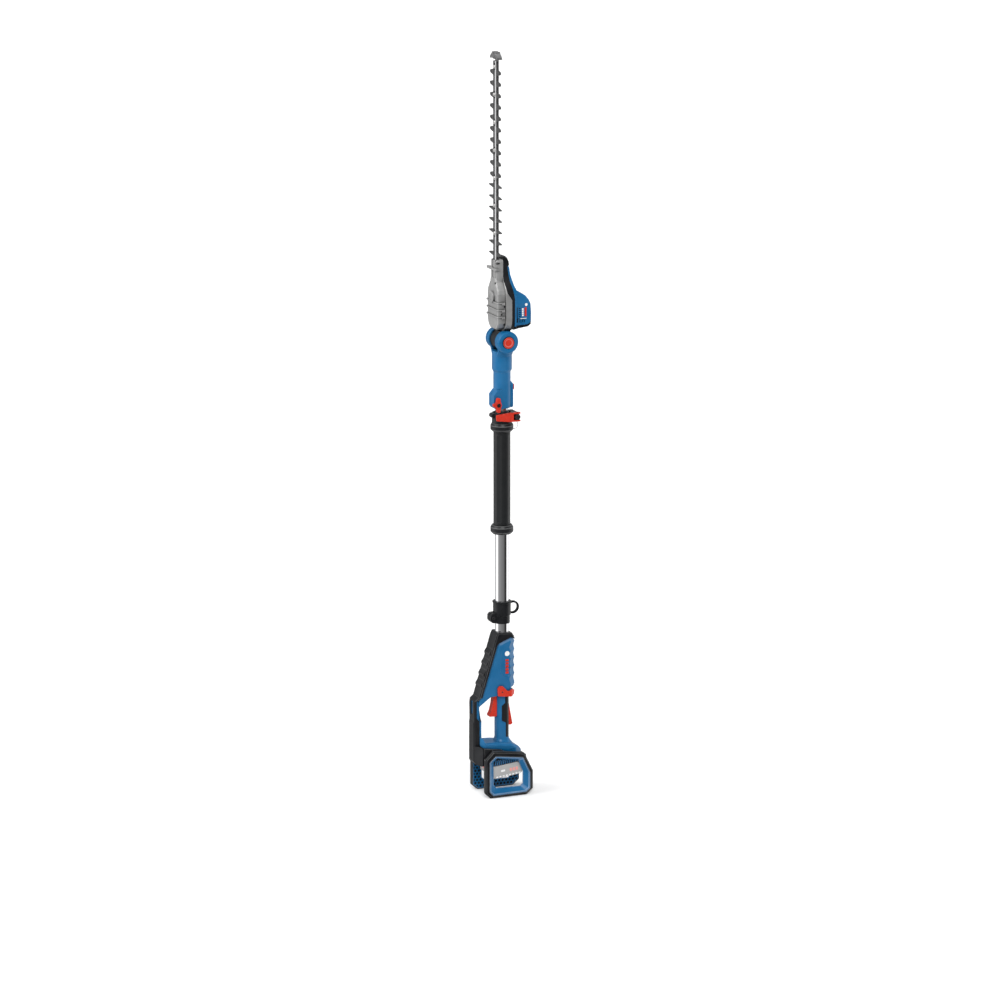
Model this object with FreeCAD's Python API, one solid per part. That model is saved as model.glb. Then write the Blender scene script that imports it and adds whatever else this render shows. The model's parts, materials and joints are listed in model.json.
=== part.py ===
"""Pole hedge trimmer: telescopic pole, folding cutter head, rear handle and battery foot.

Millimetres. The pole's axis is Z and the floor is Z = 0. +X is the palm side of the handle and the motor side
of the head, -X is the trigger side and the blade side. The tool is alike on +Y and -Y unless a part says so.
"""
import FreeCAD
import Part
import math
import os

V = FreeCAD.Vector
X_AXIS, Y_AXIS, Z_AXIS = V(1, 0, 0), V(0, 1, 0), V(0, 0, 1)

# ---- fits ----
RUNNING = 0.06       # radial clearance of a shaft in its hole
APART = 0.3          # gap between faces that slide past each other

# ---- pole ----
OUTER_R, TUBE_WALL = 17.5, 1.5
OUTER_BORE = OUTER_R - TUBE_WALL
INNER_R = 15.2
OUTER_FOOT, OUTER_TOP = 330.0, 972.0
INNER_FOOT, INNER_TOP = 470.0, 1034.0
GRIP_R, GRIP_Z = 21.25, (697.0, 936.0)
COLLAR_R, UPPER_COLLAR_Z, LOWER_COLLAR_Z = 28.8, (936.0, 958.0), (674.0, 697.0)
STRAP_Z, STRAP_STEP = (443.0, 500.0), 462.0
STRAP_R, STRAP_SKIRT_R = 22.4, 20.1
LOOP_X, LOOP_Z, LOOP_R, LOOP_HOLE_R = 29.0, 480.0, 16.5, 11.8

# ---- telescope clamp ----
CLAMP_Z, CLAMP_R = (958.0, 984.0), 25.0
BOLT_X, BOLT_Z = 28.6, 976.0
LEVER_PIN_Y = -29.5
BUSH_TOP = 990.0

# ---- elbow and neck ----
ELBOW_Z = 1168.0
EAR_R, EAR_OUT, EAR_IN = 27.5, 42.0, 20.0
HUB_R, HUB_HALF, ELBOW_PIN_R = 24.0, 19.5, 7.0
NECK_LOW, NECK_STEP, NECK_R, NECK_UPPER_R = 997.0, 1091.0, 21.6, 25.0
BUTTON_R = 14.0
KNOB_X, KNOB_Z = -21.6, 1009.0
RELEASE_Z = 1048.0

# ---- head ----
CASE_FOOT, CASE_TOP = 1193.0, 1374.0
CASE_FRONT, CASE_WALL = -25.0, 3.0
NECK_FRONT = -22.5
CASE_HALF, CASE_NECK_HALF = 40.0, 18.5
MOTOR_Z, MOTOR_R = 1236.0, 24.5
GEAR_MODULE, PINION_TEETH, GEAR_TEETH = 1.0, 9, 50
GEAR_Z = MOTOR_Z + GEAR_MODULE * (PINION_TEETH + GEAR_TEETH) / 2
GEAR_X = (-2.0, 6.0)

# ---- cutter ----
STROKE_HALF = 6.0
ECCENTRIC_R = 7.5
UPPER_X, LOWER_X, GUIDE_X = (-19.4, -17.2), (-16.9, -14.7), (-14.4, -12.0)
BAR_HALF, BLADE_TOP = 10.0, 1866.0
TAIL_HALF, TAIL_HIGH = 20.0, 26.0
TOP_TOOTH_Z, TOOTH_PITCH, TOOTH_COUNT, BLUNT_TEETH = 1838.3, 28.24, 17, 10
BLUNT_TIP, SHARP_TIP = 30.0, 36.5
TOP_BOLT_Z, BOLT_PITCH, BOLT_COUNT = 1852.0, 69.0, 7
BLADE_BOLT_R, SLOT_HALF = 2.5, 3.1
TIP_Z = 1889.0

# ---- handle ----
WEDGE_HALF, STRIP_HALF = 23.0, 18.0
SHELL_WALL = 3.0
GRIP_X, GRIP_HALF_Y, GRIP_Z_RANGE = (-18.0, 16.0), 16.0, (132.0, 256.0)
SHELF_HALF = 31.0
COLUMN_X, COLUMN_INNER, COLUMN_THIN = (-84.0, -68.5), -62.5, -76.0
TRIGGER_PIVOT = (-13.0, 248.0)
LOCK_PIVOT = (13.8, 229.0)
YOKE_PIVOT = (-9.9, 267.8)

# ---- foot and battery ----
GUARD_OUT, GUARD_IN, GUARD_TAPER = 53.0, 38.5, 1.5
CHEEK, CHEEK_BORDER = 3.0, 1.5
BAY_TILT = 6.0
BAY_CEILING = 89.7
PACK_HALF, PACK_X, PACK_TOP, PACK_HIGH = 37.5, (-48.0, 40.0), 7.0, 34.0


# ---------------------------------------------------------------- helpers
def block(x, y, z):
    return Part.makeBox(x[1] - x[0], y[1] - y[0], z[1] - z[0], V(x[0], y[0], z[0]))


def rod(radius, start, end):
    a, b = V(*start), V(*end)
    return Part.makeCylinder(radius, (b - a).Length, a, b - a)


def cone(r_start, r_end, start, end):
    a, b = V(*start), V(*end)
    return Part.makeCone(r_start, r_end, (b - a).Length, a, b - a)


def outline(points, radius, place):
    """A closed wire through 2-D points, with every corner rounded as far as its two sides allow."""
    count = len(points)
    corners = [V(a, b, 0) for a, b in points]
    starts = []
    for i, corner in enumerate(corners):
        before, after = corners[i - 1] - corner, corners[(i + 1) % count] - corner
        room = 0.45 * min(before.Length, after.Length)
        half_turn = before.getAngle(after) / 2
        trim = min(room, radius / math.tan(half_turn)) if radius > 0 and half_turn < 1.56 else 0.0
        a = corner + V(before).normalize() * trim
        b = corner + V(after).normalize() * trim
        starts.append((a, b, corner, half_turn, trim))
    edges = []
    for i, (a, b, corner, half_turn, trim) in enumerate(starts):
        following = starts[(i + 1) % count][0]
        if trim > 1e-6:
            inward = (a - corner) + (b - corner)
            reach = trim / math.cos(half_turn)
            fillet = trim * math.tan(half_turn)
            middle = corner + inward.normalize() * (reach - fillet)
            edges.append(Part.Arc(place(a), place(middle), place(b)).toShape())
        if (following - b).Length > 1e-6:
            edges.append(Part.LineSegment(place(b), place(following)).toShape())
    return Part.Wire(edges)


def in_xz(y):
    return lambda p: V(p.x, y, p.y)


def in_yz(x):
    return lambda p: V(x, p.x, p.y)


def in_xy(z):
    return lambda p: V(p.x, p.y, z)


def plate_xz(points, y, radius=0.0):
    """A plate with its outline in X and Z, between two Y."""
    return Part.Face(outline(points, radius, in_xz(y[0]))).extrude(V(0, y[1] - y[0], 0))


def plate_yz(points, x, radius=0.0):
    """A plate with its outline in Y and Z, between two X."""
    return Part.Face(outline(points, radius, in_yz(x[0]))).extrude(V(x[1] - x[0], 0, 0))


def plate_xy(points, z, radius=0.0):
    """A plate with its outline in X and Y, between two Z."""
    return Part.Face(outline(points, radius, in_xy(z[0]))).extrude(V(0, 0, z[1] - z[0]))


def turned(profile, centre=(0, 0, 0), axis=Z_AXIS):
    """A solid turned about the Z axis from (radius, height) points, then laid along another axis."""
    wire = Part.makePolygon([V(r, 0, h) for r, h in profile] + [V(profile[0][0], 0, profile[0][1])])
    solid = Part.Face(wire).revolve(V(0, 0, 0), Z_AXIS, 360)
    solid.Placement = FreeCAD.Placement(V(*centre), FreeCAD.Rotation(Z_AXIS, axis))
    return solid


def joined(*shapes):
    return shapes[0].multiFuse(list(shapes[1:])).removeSplitter()


def less(shape, *tools):
    return shape.cut(list(tools))


def mirrored(shape):
    return shape.mirror(V(0, 0, 0), Y_AXIS)


def both_sides(shape):
    return [shape, mirrored(shape)]


def symmetric(half):
    """Points of a half outline (first coordinate positive), closed by their mirror images."""
    return half + [(-a, b) for a, b in reversed(half)]


def symmetric_y(half):
    """Points of a half outline in X and Y (Y negative), closed by their mirror images."""
    return half + [(a, -b) for a, b in reversed(half)]


def tilted(shape):
    """Turn a shape drawn level under the bay's ceiling to the bay's own slope."""
    copy = shape.copy()
    copy.rotate(V(0, 0, BAY_CEILING), Y_AXIS, -BAY_TILT)
    return copy


def softened(shape, radius, wanted):
    """Round the edges that wanted() picks."""
    edges = [e for e in shape.Edges if wanted(e)]
    return shape.makeFillet(radius, edges) if edges else shape


def half_shell(solid, side):
    """The half of a solid on one side of Y = 0."""
    y = (0, 200) if side > 0 else (-200, 0)
    return solid.common(block((-200, 200), y, (-50, 2000)))


def counterbored(x, z, side, head_y, tip_y, shank=1.6, head=3.2, depth=2.4):
    """A cross screw along Y with its head at |Y| = head_y on the given side."""
    return joined(
        rod(shank, (x, side * tip_y, z), (x, side * (head_y - depth), z)),
        rod(head, (x, side * (head_y - depth), z), (x, side * head_y, z)),
    )


# ---------------------------------------------------------------- pole
def outer_tube():
    return less(
        rod(OUTER_R, (0, 0, OUTER_FOOT), (0, 0, OUTER_TOP)),
        rod(OUTER_BORE, (0, 0, OUTER_FOOT - 1), (0, 0, OUTER_TOP + 1)),
    )


def inner_tube():
    latch_hole = rod(4.0, (0, 0, RELEASE_Z - 30), (30, 0, RELEASE_Z - 30))
    return less(
        rod(INNER_R, (0, 0, INNER_FOOT), (0, 0, INNER_TOP)),
        rod(INNER_R - TUBE_WALL, (0, 0, INNER_FOOT - 1), (0, 0, INNER_TOP + 1)),
        latch_hole,
    )


def inner_tube_foot():
    ring = OUTER_BORE - RUNNING
    low = INNER_FOOT - 8
    return turned([(4, low), (ring, low), (ring, INNER_FOOT + 25), (INNER_R, INNER_FOOT + 25),
                   (INNER_R, INNER_FOOT), (4, INNER_FOOT)])


def pole_plug():
    """Electrical plug in the top of the inner tube, with four contact pins."""
    bore = INNER_R - TUBE_WALL
    body = turned([(0, INNER_TOP - 16), (bore, INNER_TOP - 16), (bore, INNER_TOP), (INNER_R, INNER_TOP),
                   (INNER_R - 1.5, INNER_TOP + 4), (0, INNER_TOP + 4)])
    pins = []
    for quarter in range(4):
        angle = math.radians(45 + 90 * quarter)
        x, y = 6 * math.cos(angle), 6 * math.sin(angle)
        pins.append(rod(1.2, (x, y, INNER_TOP + 3), (x, y, INNER_TOP + 11)))
    return joined(body, *pins)


def grip_sleeve():
    low, high = GRIP_Z
    body = turned([(OUTER_R, low), (GRIP_R, low), (GRIP_R, high), (OUTER_R, high)])
    flat = block((-GRIP_R - 1, -GRIP_R + 0.9), (-GRIP_R, GRIP_R), (low + 8, high - 8))
    flats = []
    for turn in (0, 90, 180, 270):
        cutter = flat.copy()
        cutter.rotate(V(0, 0, 0), Z_AXIS, turn + 45)
        flats.append(cutter)
    return less(body, *flats)


def pole_collar(z):
    low, high = z
    return turned([(OUTER_R, low), (COLLAR_R - 5.5, low), (COLLAR_R, low + 5.5), (COLLAR_R, high - 6),
                   (COLLAR_R - 3.5, high), (OUTER_R, high)])


def strap_collar():
    """Collar with an eye loop on the +X side and a split clamping boss on the -X side."""
    low, high = STRAP_Z
    body = turned([(0, low), (STRAP_SKIRT_R, low), (STRAP_SKIRT_R, STRAP_STEP), (STRAP_R, STRAP_STEP + 2),
                   (STRAP_R, high - 5), (STRAP_R + 1.6, high - 4), (STRAP_R + 1.6, high - 1),
                   (STRAP_R, high), (0, high)])
    loop = rod(LOOP_R, (LOOP_X, -3, LOOP_Z), (LOOP_X, 3, LOOP_Z))
    hole = rod(LOOP_HOLE_R, (LOOP_X, -4, LOOP_Z), (LOOP_X, 4, LOOP_Z)).cut(body)
    boss = plate_xz([(-16, 444), (-30, 446), (-35, 452), (-35, 465), (-30, 470.5), (-16, 471)], (-12, 12), 3)
    shape = joined(less(joined(body, loop), hole), boss)
    slit = block((-40, -10), (-1, 1), (low - 1, high + 1))
    return less(shape, rod(OUTER_R, (0, 0, low - 1), (0, 0, high + 1)), slit, strap_collar_screw())


def strap_collar_screw():
    head = joined(
        rod(4.3, (-28, -15, 458.5), (-28, -11.5, 458.5)),
        rod(2.2, (-28, -12, 458.5), (-28, 12.5, 458.5)),
        rod(4.0, (-28, 11.5, 458.5), (-28, 14.5, 458.5)),
    )
    return less(head, rod(1.8, (-28, -16, 458.5), (-28, -13, 458.5)))


def coiled_lead():
    """Outer shape of the coiled lead that stretches as the pole extends."""
    return turned([(5, 345), (12.5, 345), (12.5, INNER_FOOT - 8), (5, INNER_FOOT - 8)])


# ---------------------------------------------------------------- telescope clamp
def clamp_bush():
    bore = INNER_R + RUNNING
    return turned([(bore, OUTER_TOP), (22, OUTER_TOP), (22, OUTER_TOP + 4), (20.5, OUTER_TOP + 4),
                   (16.8, BUSH_TOP), (bore, BUSH_TOP)])


def clamp_body():
    low, high = CLAMP_Z
    ring = rod(CLAMP_R, (0, 0, low), (0, 0, high))
    ear = plate_xz([(14, low + 3), (34, low + 4), (38, low + 9), (38, high - 2), (34, high + 2), (14, high + 2)],
                   (-20.3, 14), 2)
    bump = plate_xz([(-18, low + 12), (-29, low + 15), (-31, low + 18), (-31, low + 23), (-27, low + 26),
                     (-18, low + 26)], (-9, 9), 2)
    shape = joined(ring, ear, bump)
    bore = rod(OUTER_R, (0, 0, low - 1), (0, 0, OUTER_TOP))
    seat = rod(22, (0, 0, OUTER_TOP), (0, 0, high + 5))
    slit = block((10, 45), (-1, 1), (low - 1, high + 5))
    return less(shape, bore, seat, slit, tension_bolt())


def tension_bolt():
    shank = rod(3, (BOLT_X, LEVER_PIN_Y + 4, BOLT_Z), (BOLT_X, 18, BOLT_Z))
    head = rod(7.3, (BOLT_X, LEVER_PIN_Y - 4.5, BOLT_Z), (BOLT_X, LEVER_PIN_Y + 4.5, BOLT_Z))
    nut = rod(5, (BOLT_X, 14, BOLT_Z), (BOLT_X, 19, BOLT_Z))
    dish = cone(4.5, 3, (BOLT_X, LEVER_PIN_Y - 5, BOLT_Z), (BOLT_X, LEVER_PIN_Y - 3, BOLT_Z))
    pin_hole = rod(2.2 + RUNNING, (BOLT_X, LEVER_PIN_Y, BOLT_Z - 12), (BOLT_X, LEVER_PIN_Y, BOLT_Z + 12))
    return less(joined(shank, head, nut), dish, pin_hole)


def clamp_pin():
    return rod(2.2, (BOLT_X, LEVER_PIN_Y, BOLT_Z - 12.2), (BOLT_X, LEVER_PIN_Y, BOLT_Z + 12.2))


def clamp_lever():
    """Forked cam lever that lies round the near side of the clamp."""
    blade = plate_xz([(-27, 969.5), (-27, 984), (14, 988), (14, 964)], (-32.5, -27), 1.5)
    fork = []
    for level in (BOLT_Z + 8, BOLT_Z - 11.5):
        cheek = plate_xy([(10, -33), (36, -34), (37.5, -29.5), (35, -23.5), (28.6, -21.6), (20, -27), (10, -27)],
                         (level, level + 3.5), 2)
        fork.append(cheek)
    bridge = plate_xz([(10, 964.5), (10, 987.5), (18.5, 987.5), (18.5, 964.5)], (-33, -27))
    return less(joined(blade, bridge, *fork), clamp_pin())


def wire_clip():
    """Thin wire bail between the clamp's ear and the upper collar."""
    centre, bend, wire = V(29.5, -8, 951.5), 10.2, 0.8
    start, end = math.radians(98), math.radians(-98)
    point = lambda a: centre + V(bend * math.cos(a), 0, bend * math.sin(a))
    path = Part.Wire([Part.Arc(point(start), point(0), point(end)).toShape()])
    tangent = V(-math.sin(start), 0, math.cos(start))
    section = Part.Wire([Part.makeCircle(wire, point(start), tangent)])
    wire_loop = path.makePipeShell([section], True, False)
    return less(wire_loop, clamp_body(), pole_collar(UPPER_COLLAR_Z))


# ---------------------------------------------------------------- elbow and neck
def neck_solid():
    """Outer form of the elbow's lower arm: a stepped round neck with a fork on top."""
    round_part = turned([(0, NECK_LOW), (NECK_R - 1.5, NECK_LOW), (NECK_R, NECK_LOW + 2), (NECK_R, NECK_STEP - 3),
                         (NECK_UPPER_R, NECK_STEP + 4), (NECK_UPPER_R, 1150), (0, 1150)])
    flare = joined(cone(NECK_UPPER_R - 1, 34, (0, 0, 1127), (0, 0, 1148)), rod(34, (0, 0, 1148), (0, 0, ELBOW_Z)))
    side = block((-20, 20), (-45, 45), (1120, ELBOW_Z))
    ears = turned([(0, -EAR_OUT), (19, -EAR_OUT), (23.5, -EAR_OUT + 3), (EAR_R, -EAR_OUT + 10),
                   (EAR_R, EAR_OUT - 10), (23.5, EAR_OUT - 3), (19, EAR_OUT), (0, EAR_OUT)],
                  (0, 0, ELBOW_Z), Y_AXIS)
    right = plate_xz([(0, NECK_LOW), (24, NECK_LOW), (26, 1001), (26, 1056), (20, 1064), (0, 1068)], (-11, 11), 3)
    left = plate_xz([(0, NECK_LOW), (-25, NECK_LOW), (-30, 1004), (-30, 1032), (-20, 1044), (0, 1048)],
                    (-21, 12), 3)
    gap = joined(
        block((-60, 60), (-EAR_IN, EAR_IN), (ELBOW_Z - HUB_R - 2, ELBOW_Z + 60)),
        rod(HUB_R + 2, (0, -EAR_IN, ELBOW_Z), (0, EAR_IN, ELBOW_Z)),
    )
    return less(joined(round_part, flare.common(side), ears, right, left), gap)


def neck_hollow():
    """Space inside the two neck shells: the pole's socket, a wire channel, and the bores of pin and buttons."""
    socket = rod(INNER_R + RUNNING, (0, 0, NECK_LOW - 1), (0, 0, INNER_TOP + 14))
    channel = rod(18.5, (0, 0, INNER_TOP + 17), (0, 0, 1128))
    pin = rod(ELBOW_PIN_R, (0, -34, ELBOW_Z), (0, 34, ELBOW_Z))
    button = rod(BUTTON_R + APART, (0, -60, ELBOW_Z), (0, -34, ELBOW_Z))
    release = joined(
        block((15, 40), (-6 - APART, 6 + APART), (RELEASE_Z - 7 - APART, RELEASE_Z + 7 + APART)),
        block((15, 22 + APART), (-7.5 - APART, 7.5 + APART), (RELEASE_Z - 8.5 - APART, RELEASE_Z + 8.5 + APART)),
    )
    slit = block((-40, -13), (-0.8, 0.8), (NECK_LOW - 1, 1040))
    stud = rod(3 + RUNNING, (KNOB_X, -40, KNOB_Z), (KNOB_X, 30, KNOB_Z))
    return joined(socket, channel, pin, button, release, slit, stud)


NECK_SCREW_PLACES = [(22.3, 1012), (-26, 1028), (-21.5, 1112), (21.5, 1112)]


def neck_screws():
    return Part.Compound([counterbored(x, z, 1, 7, -6, 1.3, 2.4, 2) for x, z in NECK_SCREW_PLACES])


def neck_shell(side):
    shape = half_shell(neck_solid(), side)
    access = [rod(2.4, (x, 7, z), (x, 60, z)) for x, z in NECK_SCREW_PLACES]
    return less(shape, neck_hollow(), neck_screws(), *access)


def elbow_pin():
    return rod(ELBOW_PIN_R, (0, -34, ELBOW_Z), (0, 34, ELBOW_Z))


def elbow_button():
    """Round lock button with a dished face."""
    body = rod(BUTTON_R, (0, -44.5, ELBOW_Z), (0, -38.5, ELBOW_Z))
    dish = cone(10.5, 9, (0, -45, ELBOW_Z), (0, -43.5, ELBOW_Z))
    return less(body, dish)


def wing_knob():
    """Knob with a wing up, a wing down and a short arm towards -X."""
    y = (-33, -25)
    long_wing = plate_xz([(-4, -18.5), (4, -18.5), (5, -9), (8, 0), (5, 9), (4, 18.5), (-4, 18.5), (-6, 9),
                          (-6, -9)], y, 3)
    short_wing = plate_xz([(0, -6), (-14, -3.5), (-15, 4), (0, 7)], y, 2.5)
    hub = rod(8.5, (0, -30, 0), (0, -21.5, 0))
    knob = joined(long_wing, short_wing, hub)
    knob.translate(V(KNOB_X, 0, KNOB_Z))
    return less(knob, rod(3, (KNOB_X, -31, KNOB_Z), (KNOB_X, -15, KNOB_Z)))


def wing_stud():
    return rod(3, (KNOB_X, -31, KNOB_Z), (KNOB_X, 14, KNOB_Z))


def coupling_button():
    """Push button with a flange inside that keeps it in the neck."""
    return joined(
        block((20.2, 28.6), (-6, 6), (RELEASE_Z - 7, RELEASE_Z + 7)),
        block((20.2, 22), (-7.5, 7.5), (RELEASE_Z - 8.5, RELEASE_Z + 8.5)),
    )


# ---------------------------------------------------------------- head
def case_front_outline(inset=0.0):
    """Half outline of the gear case as seen along X, in (Y, Z)."""
    points = [(19.2, CASE_FOOT), (19.4, CASE_FOOT + 3.4), (31, CASE_FOOT + 9), (38.5, CASE_FOOT + 21),
              (CASE_HALF, CASE_FOOT + 34),
              (CASE_HALF, 1290), (36, 1302), (23, 1320), (CASE_NECK_HALF, 1334), (CASE_NECK_HALF, CASE_TOP)]
    return [(y - inset, min(max(z, CASE_FOOT + inset), CASE_TOP - inset)) for y, z in points]


CASE_PARTING = [(-4.5, CASE_TOP), (-4.5, 1318), (-1, 1292), (11, 1274), (11, CASE_FOOT)]


def gear_case():
    """Cast front cover: broad at the gears, narrow where the blades leave, with ribs, bosses and a side lug."""
    front = [(-8, CASE_FOOT), (-19, CASE_FOOT + 10), (CASE_FRONT, CASE_FOOT + 24), (CASE_FRONT, 1290),
             (NECK_FRONT + 0.5, 1310), (NECK_FRONT, 1330), (NECK_FRONT, CASE_TOP - 3), (NECK_FRONT + 4, CASE_TOP)]
    side = plate_xz(front + CASE_PARTING, (-60, 60))
    outer = plate_yz(symmetric(case_front_outline()), (-40, 40), 5).common(side)
    inner_side = plate_xz([(-6, CASE_FOOT + 3), (-17, CASE_FOOT + 12), (CASE_FRONT + 3, CASE_FOOT + 26),
                           (CASE_FRONT + 3, 1290), (NECK_FRONT + 2.2, 1312), (NECK_FRONT + 2.2, CASE_TOP - 4),
                           (-4.5, CASE_TOP - 4), (-4.5, 1318), (-1, 1292), (11.5, 1274), (11.5, CASE_FOOT + 3)],
                          (-60, 60))
    inner = plate_yz(symmetric(case_front_outline(CASE_WALL)), (-40, 40), 4).common(inner_side)
    slot = block((UPPER_X[0] - 0.4, GUIDE_X[1]), (-BAR_HALF - 0.6, BAR_HALF + 0.6), (1300, CASE_TOP + 5))
    seat = block((GUIDE_X[1], -4.5), (-BAR_HALF + 1, BAR_HALF - 1), (1318, CASE_TOP - 2))
    ribs = [block((CASE_FRONT - 1.6, CASE_FRONT + 1), (-34, 34), (z, z + 3)) for z in (1232, 1252, 1272)]
    boss = rod(8, (CASE_FRONT - 3, 12, 1285), (CASE_FRONT + 1, 12, 1285))
    lug = block((-19, -12), (CASE_NECK_HALF - 1, CASE_NECK_HALF + 9), (1349, 1353))
    return less(joined(less(outer, inner), seat, boss, lug, *ribs), slot, case_screws())


def middle_profile():
    return [(-4.5, CASE_TOP), (-3, 1380), (3.5, 1381), (8, 1376), (10.5, 1367), (11.5, 1358), (6.5, 1358), (12.5, 1312),
            (18.5, 1276), (18.5, CASE_FOOT + 3.5), (14, CASE_FOOT), (11, CASE_FOOT), (11, 1274), (-1, 1292),
            (-4.5, 1318)]


def middle_frame():
    """Black frame between gear case and motor cover, with the motor's bearing wall and a bottom skirt."""
    side = plate_xz(middle_profile(), (-60, 60))
    half = case_front_outline()
    half[-1] = (CASE_NECK_HALF - 5, 1381)
    half.insert(-1, (CASE_NECK_HALF, CASE_TOP - 6))
    outer = plate_yz(symmetric(half), (-40, 40), 5).common(side)
    room = rod(GEAR_MODULE * GEAR_TEETH / 2 + 2, (-6, 0, GEAR_Z), (GEAR_X[1] + 1.2, 0, GEAR_Z))
    skirt = plate_xz([(18.5, 1197), (34, 1200), (58, 1203), (65, 1208.5), (66, 1216), (62.5, 1212.5), (57, 1208.7),
                      (30, 1206), (18.5, 1206)], (-29, 29), 0)
    shaft = rod(3 + RUNNING, (5, 0, MOTOR_Z), (20, 0, MOTOR_Z))
    journal = rod(4 + RUNNING, (5, 0, GEAR_Z), (16.5, 0, GEAR_Z))
    return less(joined(outer, skirt), room, shaft, journal, case_screws())


def motor_profile():
    return [(6.5, 1358), (11.5, 1358), (13.5, 1350), (15, 1337), (18.4, 1320), (20.7, 1305), (26.6, 1297),
            (38.4, 1290), (51, 1282), (59.6, 1271), (64.1, 1260), (65.5, 1240), (65.2, 1217), (62.5, 1212.5),
            (57, 1208.7), (30, 1206), (18.5, 1206), (18.5, 1276), (12.5, 1312)]


def motor_cover():
    """Blue cover: a flange as broad as the gear case, a narrow spine above and the motor's housing behind."""
    side = plate_xz(motor_profile(), (-60, 60))
    flange = plate_yz(symmetric([(38.5, 1206), (CASE_HALF, CASE_FOOT + 34), (CASE_HALF, 1290), (36, 1302),
                                 (23, 1320), (17, 1334), (15, 1352), (12, 1358)]), (0, 23), 3)
    barrel = plate_yz(symmetric([(28, 1206), (30.5, 1211), (30.5, 1262), (27, 1280), (15, 1300), (11, 1338)]),
                      (18, 80), 6)
    outer = joined(flange.common(side), barrel.common(side))
    bell = rod(MOTOR_R + 0.8, (18, 0, MOTOR_Z), (61.5, 0, MOTOR_Z))
    vents = [block((28 + 4.6 * i, 30.2 + 4.6 * i), (-40, 40), (1214, 1226)) for i in range(5)]
    return less(outer, bell, case_screws(), *vents)


CASE_SCREW_PLACES = [(33, 1213), (35.5, 1258), (33, 1292), (14.5, 1340), (14.5, 1366)]


def case_screws():
    """Screws along X that hold gear case, frame and cover together, heads on the front."""
    screws = []
    for y, z in CASE_SCREW_PLACES:
        front = CASE_FRONT if z < 1300 else NECK_FRONT
        back = 15.0 if z < 1300 else 2.0
        for side in (1, -1):
            screws.append(joined(rod(1.7, (front + 2.4, side * y, z), (back, side * y, z)),
                                 rod(3.2, (front, side * y, z), (front + 2.6, side * y, z))))
    return Part.Compound(screws)


def elbow_hub():
    """Black hub between the fork ears, with the block that carries the head."""
    barrel = rod(HUB_R, (0, -HUB_HALF, ELBOW_Z), (0, HUB_HALF, ELBOW_Z))
    block_up = plate_xz([(-16, ELBOW_Z), (-12, CASE_FOOT - 1), (-7.5, CASE_FOOT), (14, CASE_FOOT),
                         (20, CASE_FOOT - 6), (20, ELBOW_Z)], (-18.5, 18.5))
    bore = rod(ELBOW_PIN_R + RUNNING, (0, -30, ELBOW_Z), (0, 30, ELBOW_Z))
    return less(joined(barrel, block_up), bore)


def motor_stator():
    can = rod(MOTOR_R, (18.5, 0, MOTOR_Z), (58, 0, MOTOR_Z))
    hole = rod(13.5, (18, 0, MOTOR_Z), (59, 0, MOTOR_Z))
    slots = []
    for i in range(6):
        slot = block((18, 67), (-2, 2), (MOTOR_Z + 12, MOTOR_Z + 20))
        slot.rotate(V(0, 0, MOTOR_Z), X_AXIS, 60 * i)
        slots.append(slot)
    return less(can, hole, *slots)


def toothed_wheel(teeth, x, z, root_drop, tip_rise, phase):
    """A straight-toothed wheel about an X axis."""
    pitch_r = GEAR_MODULE * teeth / 2
    points = []
    for i in range(teeth):
        for share, rise in ((-0.36, -root_drop), (-0.14, tip_rise), (0.14, tip_rise), (0.36, -root_drop)):
            angle = 2 * math.pi * (i + share) / teeth + phase
            radius = pitch_r + rise
            points.append((radius * math.sin(angle), z + radius * math.cos(angle)))
    return plate_yz(points, x)


def motor_rotor():
    """Rotor, shaft and the pinion cut on the shaft's end."""
    pinion = toothed_wheel(PINION_TEETH, (GEAR_X[0] - 1, GEAR_X[1] + 1), MOTOR_Z, 1.3, 0.8, 0.0)
    shaft = rod(3, (GEAR_X[0] - 2, 0, MOTOR_Z), (60, 0, MOTOR_Z))
    core = rod(13, (24, 0, MOTOR_Z), (54, 0, MOTOR_Z))
    return joined(pinion, shaft, core)


def drive_gear():
    """Gear with two eccentrics half a turn apart, one for each blade."""
    wheel = toothed_wheel(GEAR_TEETH, GEAR_X, GEAR_Z, 1.3, 0.8, math.pi * (1 + 1 / GEAR_TEETH))
    hub = rod(7, (LOWER_X[1] + 0.7, 0, GEAR_Z), (GEAR_X[0] + 1, 0, GEAR_Z))
    middle = (UPPER_X[1] + LOWER_X[0]) / 2
    near = rod(ECCENTRIC_R, (middle, STROKE_HALF, GEAR_Z), (LOWER_X[1] + 0.7, STROKE_HALF, GEAR_Z))
    far = rod(ECCENTRIC_R, (UPPER_X[0] - 0.5, -STROKE_HALF, GEAR_Z), (middle, -STROKE_HALF, GEAR_Z))
    journal = rod(4, (GEAR_X[1], 0, GEAR_Z), (16, 0, GEAR_Z))
    return joined(wheel, hub, near, far, journal)


# ---------------------------------------------------------------- cutter
def tooth_centres():
    return [(TOP_TOOTH_Z - TOOTH_PITCH * i, i) for i in range(TOOTH_COUNT)]


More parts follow.
